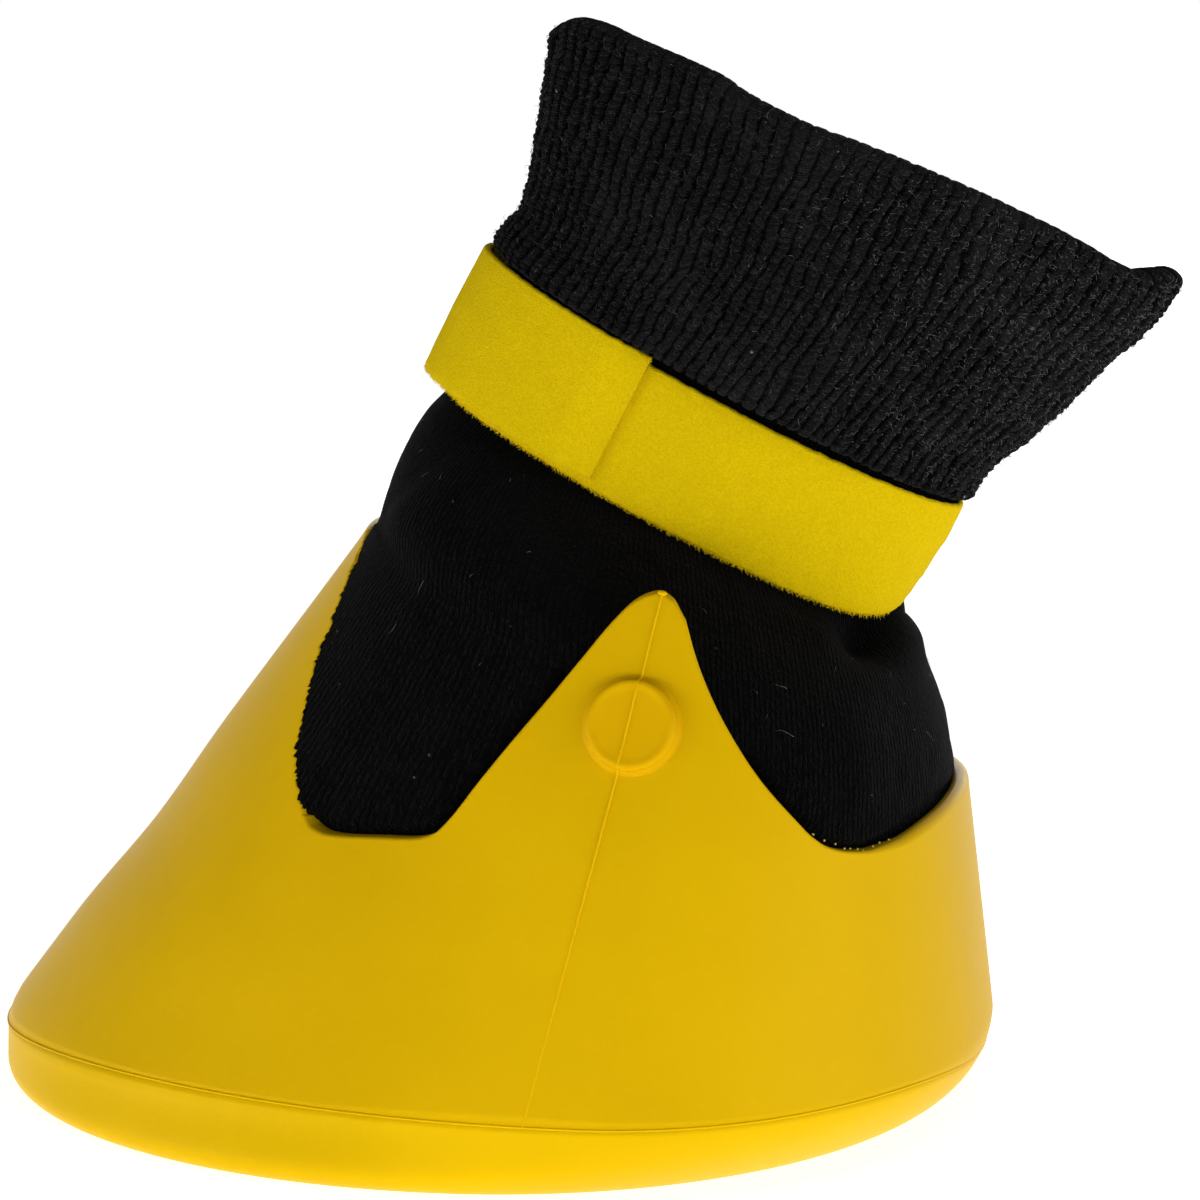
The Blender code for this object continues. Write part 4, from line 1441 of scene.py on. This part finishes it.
def cuff_ring(angle, share, inset):
    """A ring of the cuff with its rolled foot, its sagging top edge and its raised heel tip."""
    points = cuff_section(angle, share, inset)
    place = -np.cos(angle)
    top = np.array(CUFF_TOP)
    lift = smooth_table(top[:, 0], top[:, 1] * MM, np.clip(place, -1, 1))
    axis = np.array((math.sin(CUFF_AXIS_LEAN), 0, math.cos(CUFF_AXIS_LEAN)))
    points = points + axis * (lift * smooth((share - 0.35) / 0.65))[:, None]
    swell = np.array(CUFF_SWELL)
    level = min(max(share, 0.0), 1.0)
    front, rear = [float(smooth_table(swell[:, 0], swell[:, part], level)) for part in (1, 2)]
    side = 0.5 * (1 - smooth(level / 0.2)) * np.abs(np.sin(angle))
    reach = front * smooth((-place - 0.5) / 0.5) + rear * smooth((place - 0.4) / 0.6)
    points[:, 0] += np.sign(place) * reach * MM
    slow = wobble(place * 4.2 + share * 2.3, 17) * math.sin(math.pi * level)
    across = side * MM + np.abs(np.sin(angle)) * slow * 0.7 * MM
    points[:, 1] -= np.sign(np.sin(angle)) * across
    return points


def cuff_profile():
    """Shares of height and insets down the fold, and how much of the ribs shows at each."""
    whole = CUFF_FABRIC + SOCK_CLEARANCE + SOCK_THICKNESS
    fold = 2.2 * MM / CUFF_HEIGHT
    profile = [(0.026, CUFF_FABRIC, 0), (0.012, CUFF_FABRIC * 0.74, 0.2)]
    profile += [(0.006, CUFF_FABRIC * 0.45, 0.5), (0.012, CUFF_FABRIC * 0.2, 0.8)]
    profile += [(0.021, 0.1 * MM, 1)]
    for share in np.linspace(0.032, 1 - fold, 216):
        profile.append((share, 0, mix(0.15, 1, float(smooth((0.985 - share) / 0.06)))))
    for turn in np.linspace(0, math.pi, 12)[1:]:
        height = 1 - fold + fold * math.sin(turn)
        profile.append((height, whole / 2 * (1 - math.cos(turn)), 0.15))
    for share in np.linspace(1 - 1.6 * fold, 0.80, 8):
        profile.append((share, whole, 0.35))
    profile += [(share, CUFF_FABRIC, 0) for share in np.linspace(0.78, 0.05, 8)]
    return np.array(profile)


class HOOFBOOT_OT_cuff(bpy.types.Operator):
    """Make the turned-down cuff with its knitted ribs"""

    bl_idname = "hoofboot.cuff"
    bl_label = "Cuff"

    def execute(self, context):
        ribs = sizes().cuff_ribs
        columns = ribs * CUFF_POINTS_PER_RIB
        angle = even_turns(lambda turn: cuff_section(turn, 0.5, 0), columns)
        profile = cuff_profile()
        rings = np.array([cuff_ring(angle, share, inset) for share, inset in profile[:, :2]])
        rise = profile[:, 0][:, None]
        phase = (np.arange(columns + 1) / CUFF_POINTS_PER_RIB)[None, :]
        around_turn = phase / ribs * math.tau
        drift = 0.3 * wobble(rise * 5 + np.sin(around_turn) * 7 + np.cos(around_turn) * 5, 23)
        across = phase + drift
        uneven = wobble(np.sin(around_turn * 3) * 5 + np.cos(around_turn * 2) * 6, 29)
        along = rise * CUFF_STITCHES + 0.5 * uneven
        source = np.random.RandomState(31)
        count = CUFF_STITCHES + 9
        shift = source.uniform(0, 1, ribs)[np.floor(across).astype(int) % ribs] * 0.6
        knob_row = np.floor(along + 0.2 + shift).astype(int) % count
        knob_column = np.floor(across).astype(int) % ribs
        lean = source.uniform(-0.13, 0.13, (count, ribs))[knob_row, knob_column]
        crown = np.clip(1 - np.abs(2 * (np.mod(across, 1) + lean) - 1), 0, 1)
        shape = smooth(crown / 0.5)
        slant = along + 0.35 * crown + shift
        size = source.uniform(0.35, 1.25, (count, ribs))
        size = size[np.floor(slant).astype(int) % count, knob_column]
        knob = np.abs(np.sin(math.pi * slant)) ** 0.6 * size
        depth = sizes().cuff_rib_depth
        grain = source.normal(0, 0.035 * MM, shape.shape)
        lift = depth * (shape - 1) * (1 + 0.25 * uneven) + 0.4 * MM * (knob - 0.4) * shape + grain
        lift = (lift * profile[:, 2][:, None])[:, :-1]
        rings = rings + grid_facing(rings) * lift[..., None]
        rows = np.broadcast_to((along + shift) / CUFF_STITCHES, across.shape)
        grid = np.stack([across / ribs, rows], axis=-1)
        grid = np.concatenate([grid, grid[:1]])
        piece = tube_object("cuff", rings, cuff_knit(), grid=grid)
        settle(piece, "cuff_knit", "sock_cuff")
        outside = rings[CUFF_FACE_ROWS]
        short = (0.5 * MM, 1.5 * MM)
        for name, fibres, lengths, lift, seed, material, from_x in (
            ("cuff_lint", 150, (0.8 * MM, 3.2 * MM), 0.2 * MM, 57, lint(), -1.0),
            ("cuff_fuzz", 7000, short, 0.25 * MM, 58, cuff_fuzz("cuff_fuzz", 4.5), -1.0),
            # The nap is real fuzz, but its fibres are thirteen times lighter than the knit and lie
            # only past X = 45 mm, so they are also a painted sheen on the cuff's right side.
            ("cuff_nap_painted_sheen", 5000, short, 0.3 * MM, 60, cuff_fuzz("bright_fuzz", 13), 45 * MM),
        ):
            piece = lint_object(name, outside, fibres, lengths, lift, seed, material, from_x)
            settle(piece, "cuff_knit")
        return {"FINISHED"}


# Strap


def strap_place(angle, offset):
    """Points this far outside the sock's section, in the strap's plane, and their outward way."""
    half_length = PASTERN_LENGTH / 2
    half_width = PASTERN_WIDTH / 2
    angle, offset = np.broadcast_arrays(angle, offset)
    on_sock = np.stack([-half_length * np.cos(angle), -half_width * np.sin(angle)], -1)
    normal = unit(np.stack([-half_width * np.cos(angle), -half_length * np.sin(angle)], -1))
    return on_sock + normal * offset[..., None], normal


def strap_points(angle, offset, level):
    """Points round the strap, this far outside the sock's section and at these levels."""
    flat = strap_place(angle, offset)[0]
    return placed(strap_frame(), np.column_stack([flat, level]))


def strap_angle(length):
    """Angle at each length along the strap from its front nose."""
    fine = np.radians(np.linspace(-300, 420, 14401))
    along = lengths_along(strap_place(fine, TAB_MIDDLE)[0])
    return np.interp(length, along - np.interp(0, fine, along), fine)


def strap_angles(start, end, spacing):
    """Angles evenly spaced along the strap, between two lengths from the front nose."""
    count = max(int(round(abs(end - start) / spacing)), 2)
    return strap_angle(np.linspace(start, end, count + 1))


def curled(angle, level):
    """How far the band's lower edge draws in and up where it turns round the heel side."""
    away = np.abs(np.mod(angle, math.tau) - math.pi) * PASTERN_WIDTH / 2
    near = np.exp(-((away / (9 * MM)) ** 2))
    low = np.clip(-level / (STRAP_WIDTH / 2), -0.5, 1)
    draw_in = near * mix(0.6, 1.35, smooth(low)) * smooth((low + 0.5) / 0.5) * MM
    return draw_in, near * np.clip(low, 0, 1) * 3.2 * MM


def tape_rings(angle, inner, raised, curl, seed):
    """Rings of a soft tape that stands on edge, one ring for each angle."""
    thickness = sizes().tape
    half = STRAP_WIDTH / 2
    edge = thickness / 2
    across = np.linspace(-half + edge, half - edge, 15)
    bends = np.linspace(0, math.pi, 7)[1:-1]
    round_edge = half - edge + edge * np.sin(bends)
    levels = np.concatenate([across, round_edge, across[::-1], -round_edge])
    lifts = np.concatenate([
        np.zeros(len(across)), edge - edge * np.cos(bends),
        np.full(len(across), thickness), edge + edge * np.cos(bends),
    ])
    crown = 0.25 * MM * (1 - (levels / half) ** 2) * (lifts > edge)
    source = np.random.RandomState(seed)
    rings = []
    inside = np.ones(len(angle))
    inside[:3] = 0
    inside[-3:] = 0
    for turn, under, up, rough in zip(angle, inner, raised, inside):
        draw_in, draw_up = curled(turn, levels)
        noise = source.normal(0, 0.035 * MM, len(levels)) * (lifts > edge) * rough
        stray = source.normal(0, 0.06 * MM) * rough
        frayed = stray * np.sign(levels) * (np.abs(levels) > half - edge)
        depth = under + lifts + crown - draw_in * curl + noise
        rings.append(strap_points(turn, depth, levels + frayed + up + draw_up * curl))
    return rings


def pile_lines(angle, inner, raised, curl, count, source):
    """Loose fibres along both edges of a tape."""
    t = FIBRE_STEPS
    whole = np.arange(len(angle))
    lines = []
    for place in np.linspace(0, len(angle) - 1, count):
        turn, under, up = [float(np.interp(place, whole, part)) for part in (angle, inner, raised)]
        for side in (-1, -1, 1):
            if side > 0 and source.random() > 0.3:
                continue
            reach = sizes().pile * (0.35 + 0.9 * source.random()) * (1 if side < 0 else 0.35)
            lean = source.uniform(-0.9, 0.9)
            lift = sizes().tape * source.uniform(0.15, 1.0)
            bend = source.uniform(-0.5, 0.9)
            draw_in, draw_up = curled(turn, side * STRAP_WIDTH / 2)
            shift = lean * reach * t + 0.3 * reach * t * t * bend
            depth = under + lift + bend * reach * t * t * 0.6 - draw_in * curl
            level = side * (STRAP_WIDTH / 2 - 0.3 * MM + reach * t * (1 - 0.25 * t))
            level = level + up + draw_up * curl
            lines.append(strap_points(turn + shift / (PASTERN_LENGTH / 2), depth, level))
    return lines


def end_pile_lines(turn, under, up, source):
    """Loose fibres along the cut end of a tape."""
    t = FIBRE_STEPS
    lines = []
    for fibre in range(int(STRAP_WIDTH / (0.14 * MM))):
        level = source.uniform(-0.48, 0.48) * STRAP_WIDTH
        reach = sizes().pile * source.uniform(0.2, 0.65)
        lift = sizes().tape * source.uniform(0.5, 1.1)
        lean = source.uniform(-0.5, 0.5)
        ahead = turn + (reach * t - 0.2 * MM) / (PASTERN_LENGTH / 2)
        depth = under + lift - 0.2 * reach * t * t
        lines.append(strap_points(ahead, depth, level + up + lean * reach * t))
    return lines


def tape_piece(name, start, end, inner_at, raised_at, seed, curl=0, cut_end=False):
    """A tape from one length to another round the strap, with its pile, as one mesh."""
    angle = strap_angles(start, end, 0.9 * MM)
    even = np.linspace(0, 1, len(angle))
    shares = np.sort(np.append(even, (END_CREASE, 1 - END_CREASE)))
    angle = np.interp(shares, even, angle)
    lengths = mix(start, end, shares)
    inner = inner_at(lengths)
    raised = raised_at(lengths)
    points, faces, corners = capped_parts(tape_rings(angle, inner, raised, curl, seed))
    source = random.Random(seed)
    count = max(int(abs(end - start) / sizes().pile_gap), 2)
    lines = pile_lines(angle, inner, raised, curl, count, source)
    if cut_end:
        lines += end_pile_lines(angle[-1], inner[-1], raised[-1], source)
    fibres, fibre_faces = strand_parts(lines, 0.06 * MM, len(points))
    corners = np.vstack([corners, np.full((sum(map(len, fibre_faces)), 2), 0.5)])
    points = np.vstack([points, fibres])
    piece = mesh_object(name, points, faces + fibre_faces, corners, tape())
    piece.data.materials.append(loose_pile())
    for polygon in piece.data.polygons[len(faces):]:
        polygon.material_index = 1
    return piece


def lap_start():
    """Length from the front nose, on the far side, where the tab leaves the band."""
    return TAB_PAST_NOSE - TAB_LENGTH


def tab_inner():
    """How far the tab's inner face lies off the sock, where it is free."""
    return BAND_INNER + sizes().tape + TAB_LIFT


def strap_tangent(angle):
    """Direction along the strap at this angle, in the boot's frame."""
    flat = strap_place(np.array([angle - 0.01, angle + 0.01]), 3 * MM)[0]
    way = flat[1] - flat[0]
    return (strap_frame().to_3x3() @ Vector((way[0], way[1], 0))).normalized()


class HOOFBOOT_OT_strap(bpy.types.Operator):
    """Make the strap: its band on the sock, and the tab that peels open"""

    bl_idname = "hoofboot.strap"
    bl_label = "Strap"

    def execute(self, context):
        lap = lap_start()
        flat = strap_place(np.linspace(0, math.tau, 3601), TAB_MIDDLE)[0]
        band_start = lap + LAP_COVER
        band_end = lap + lengths_along(flat)[-1] - 5 * MM
        rise = 14 * MM

        def band_offset(place):
            """The band's inner face lifts from the sock where the tab goes on from it."""
            left = band_end - place
            return mix(BAND_INNER, tab_inner(), smooth((rise - left) / (rise + 2 * MM)))

        def band_raised(place):
            """The band sags a little between its ends."""
            away = np.minimum(place - band_start, band_end - place)
            return -0.9 * MM * smooth((away - 4 * MM) / (20 * MM))

        band = tape_piece(
            "strap_band_tape", band_start, band_end, band_offset, band_raised, 41, curl=1
        )
        settle(band, "loop_tape", "strap_band")
        link = TAB_LENGTH / 3
        first = lap - 5 * MM
        last = lap + link * 3 - 2.8 * MM
        edges = (first, lap + link / 2, lap + link * 1.5, last)

        def tab_offset(place):
            """The tab's inner face goes on from the band's, and is pressed down at its end."""
            offset = tab_inner() + 1.45 * MM * np.exp(-((place / (13 * MM)) ** 2))
            offset = mix(band_offset(band_end), offset, smooth((place - first) / (5 * MM)))
            pressed = BAND_INNER + sizes().tape - 0.1 * MM
            return mix(offset, pressed, smooth((place - last) / (9 * MM) + 1))

        def tab_raised(place):
            """The tab climbs a little towards its end."""
            return 0.6 * MM * smooth((place - lap) / (TAB_LENGTH * 0.9))

        for number, (name, node, joint, before, after) in enumerate(TAB_LINKS):
            start, end = edges[number : number + 2]
            piece = tape_piece(
                name, start, end, tab_offset, tab_raised, 43 + number, cut_end=end == last
            )
            settle(piece, "loop_tape", node, body=None)
            way = strap_tangent(float(strap_angle(lap + link * number))) * (5 * MM)
            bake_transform(piece)
        return {"FINISHED"}


class HOOFBOOT_OT_hook_tape(bpy.types.Operator):
    """Make the hook tape under the tab's end and the stitches under the lap"""

    bl_idname = "hoofboot.hook_tape"
    bl_label = "Hook tape and stitches"

    def execute(self, context):
        lap = lap_start()
        link = TAB_LENGTH / 3
        angle = strap_angles(lap + 2 * link + 2 * MM, lap + 3 * link - 14 * MM, 1 * MM)
        lifts = np.array((0, 0, 0, 0.55, 0.55, 0.55)) * MM + tab_inner() - 0.62 * MM
        levels = np.array((-11, 0, 11, 11, 0, -11)) * MM
        rings = [strap_points(turn, lifts, levels) for turn in angle]
        hooks = hook_material("hook_rows", (0.03, 0.028, 0.03, 1))
        piece = mesh_object("hook_tape", *capped_parts(rings), hooks)
        settle(piece, "hook_tape", "hook_patch", body="tab_end")
        lines = []
        offset = BAND_INNER + sizes().tape + 0.33 * MM
        half = STRAP_WIDTH / 2 - 3 * MM
        box = [(9, -half), (21, -half), (21, half), (9, half), (9, -half)]
        t = np.array((0.08, 0.3, 0.5, 0.7, 0.92))
        sink = 0.3 * MM * (2 * t - 1) ** 4
        for (along, level), (next_along, next_level) in zip(box, box[1:]):
            run = math.hypot((next_along - along) * MM, next_level - level)
            stitches = int(run / (2.2 * MM))
            for stitch in range(stitches):
                share = (stitch + t) / stitches
                turn = strap_angle(lap + mix(along, next_along, share) * MM)
                lines.append(strap_points(turn, offset - sink, mix(level, next_level, share)))
        points, faces = strand_parts(lines, 0.3 * MM, 0)
        thread = thread_material("thread", tuple(colours().tape), 0.7)
        piece = mesh_object("anchor_thread", points, faces, None, thread)
        settle(piece, "thread", "anchor_stitches")
        return {"FINISHED"}


class HOOFBOOT_OT_inside(bpy.types.Operator):
    """Make the foam pad and the sock's sole panel"""

    bl_idname = "hoofboot.inside"
    bl_label = "Pad and sole panel"

    def execute(self, context):
        wall = sizes().wall
        angle = even_turns(lambda turn: wall_surface(turn, SOLE_LINE, 0), 160)
        inset = wall + 2 * SOCK_CLEARANCE + SOCK_THICKNESS
        edge = 1.2 * MM
        foot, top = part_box("insole_pad")[0][2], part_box("insole_pad")[1][2]
        turns = np.linspace(0, math.pi / 2, 5)
        short = edge * (1 - np.cos(turns))
        long = edge * (1 - np.sin(turns))
        profile = [(foot, inset + edge)]
        profile += zip(foot + short, inset + long)
        profile += zip(top - long, inset + short)
        rings = [wall_surface(angle, height, depth) for height, depth in profile]
        rim = rings[-1]
        for share in (0.8, 0.5, 0.2):
            ring = mix(rim.mean(axis=0), rim, share)
            ring[:, 2] = top
            rings.append(ring)
        foam = foam_material("pitted_foam", tuple(colours().foam))
        pad = mesh_object("foam_pad", *capped_parts(rings), foam)
        settle(pad, "pad_foam", "insole_pad")
        low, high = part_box("sock_sole")
        bevel = 0.4 * MM
        profile = ((low[2], bevel), (low[2] + bevel, 0), (high[2] - bevel, 0), (high[2], bevel))
        around = wall + SOCK_CLEARANCE
        rings = [wall_surface(angle, height, around + depth) for height, depth in profile]
        panel = mesh_object("sole_panel", *capped_parts(rings), sock_knit())
        settle(panel, "sock_knit", "sock_sole")
        return {"FINISHED"}


class HOOFBOOT_OT_stage(bpy.types.Operator):
    """Make the floor, the lights, the world and the camera"""

    bl_idname = "hoofboot.stage"
    bl_label = "Stage"

    def execute(self, context):
        make_floor()
        make_world()
        make_lights()
        make_camera()
        context.scene.view_settings.view_transform = "Standard"
        return {"FINISHED"}


def white_to_eye(board):
    """1 for what the camera sees, also in mirrors and through glass, and 0 for other light."""
    path = board.node("ShaderNodeLightPath", {})
    seen = Signal(board, path.outputs["Is Camera Ray"])
    glossy = Signal(board, path.outputs["Is Glossy Ray"])
    through_glass = Signal(board, path.outputs["Is Transmission Ray"])
    return seen.maths("MAXIMUM", glossy).maths("MAXIMUM", through_glass)


def make_floor():
    """A round floor that glows, so that it is white to the eye and still takes shadows."""
    board = MaterialBoard("floor", (0.8, 0.8, 0.8, 1), 0.9, {"Specular IOR Level": 0})
    strength = FLOOR_GLOW - white_to_eye(board) * (FLOOR_GLOW - FLOOR_GLOW_SEEN)
    backdrop = tuple(colours().backdrop)
    glow = board.value("ShaderNodeEmission", {}, Color=backdrop, Strength=strength)
    lit = Signal(board, board.shader.outputs[0])
    both = board.value("ShaderNodeAddShader", {}, lit, glow)
    board.join(board.tree.nodes["Material Output"].inputs["Surface"], both)
    sides = 96
    turns = full_turn(sides)
    edge = np.stack([np.cos(turns), np.sin(turns), np.zeros_like(turns)], axis=-1) * FLOOR_RADIUS
    floor = mesh_object("floor", edge, [range(sides)], None, board.material)


def make_world():
    """A world that is white to the eye and gives a faint even light."""
    world = bpy.data.worlds.new("studio")
    bpy.context.scene.world = world
    world.use_nodes = True
    world.node_tree.nodes.clear()
    board = Board(world.node_tree)
    strength = white_to_eye(board) * (1 - AMBIENT) + AMBIENT
    backdrop = tuple(colours().backdrop)
    back = board.value("ShaderNodeBackground", {}, Color=backdrop, Strength=strength)
    board.node("ShaderNodeOutputWorld", {}, Surface=back)


def make_lights():
    """The studio's lamps, all turned to the boot."""
    for name, place, width, height, power in LAMPS:
        lamp = bpy.data.lights.new(name, "AREA")
        lamp.shape = "RECTANGLE"
        lamp.size = width
        lamp.size_y = height
        lamp.energy = power
        made = bpy.data.objects.new(name, lamp)
        made.location = place
        made.rotation_euler = (LAMP_AIM - Vector(place)).to_track_quat("-Z", "Y").to_euler()
        bpy.context.scene.collection.objects.link(made)


def make_camera():
    """The photograph's view, for a square picture."""
    camera = bpy.data.objects.new("camera", bpy.data.cameras.new("camera"))
    across = CAMERA_AIM.x + CAMERA_AWAY * math.sin(CAMERA_TURN)
    camera.location = (across, -CAMERA_AWAY * math.cos(CAMERA_TURN), CAMERA_HEIGHT)
    camera.rotation_euler = (CAMERA_AIM - camera.location).to_track_quat("-Z", "Y").to_euler()
    camera.data.sensor_width = SENSOR_WIDTH_MM
    camera.data.lens = CAMERA_FOCAL_PIXELS / PICTURE_PIXELS * SENSOR_WIDTH_MM
    camera.data.clip_start = 0.01
    bpy.context.scene.collection.objects.link(camera)
    bpy.context.scene.camera = camera


class HOOFBOOT_PT_panel(bpy.types.Panel):
    """Lists the boot's pieces, sizes and colours"""

    bl_idname = "HOOFBOOT_PT_panel"
    bl_label = "Hoof boot"
    bl_space_type = "VIEW_3D"
    bl_region_type = "UI"
    bl_category = "Hoof boot"

    def draw(self, context):
        layout = self.layout
        for operator in PIECES:
            layout.operator(operator.bl_idname)
        for group in (context.scene.hoof_boot_sizes, context.scene.hoof_boot_colours):
            box = layout.box()
            for name in group.__annotations__:
                box.prop(group, name)


PIECES = (
    HOOFBOOT_OT_sole,
    HOOFBOOT_OT_wall,
    HOOFBOOT_OT_bosses,
    HOOFBOOT_OT_mould_lines,
    HOOFBOOT_OT_inside,
    HOOFBOOT_OT_sock,
    HOOFBOOT_OT_window_bleed,
    HOOFBOOT_OT_cuff,
    HOOFBOOT_OT_strap,
    HOOFBOOT_OT_hook_tape,
    HOOFBOOT_OT_stage,
)
CLASSES = (HoofBootSizes, HoofBootColours, *PIECES, HOOFBOOT_PT_panel)


def register():
    for one in CLASSES:
        bpy.utils.register_class(one)
    bpy.types.Scene.hoof_boot_sizes = bpy.props.PointerProperty(type=HoofBootSizes)
    bpy.types.Scene.hoof_boot_colours = bpy.props.PointerProperty(type=HoofBootColours)


def unregister():
    del bpy.types.Scene.hoof_boot_sizes
    del bpy.types.Scene.hoof_boot_colours
    for one in reversed(CLASSES):
        bpy.utils.unregister_class(one)


def main():
    register()
    for operator in PIECES:
        group, name = operator.bl_idname.split(".")
        getattr(getattr(bpy.ops, group), name)()
    bpy.context.view_layer.update()


if __name__ == "__main__":
    main()
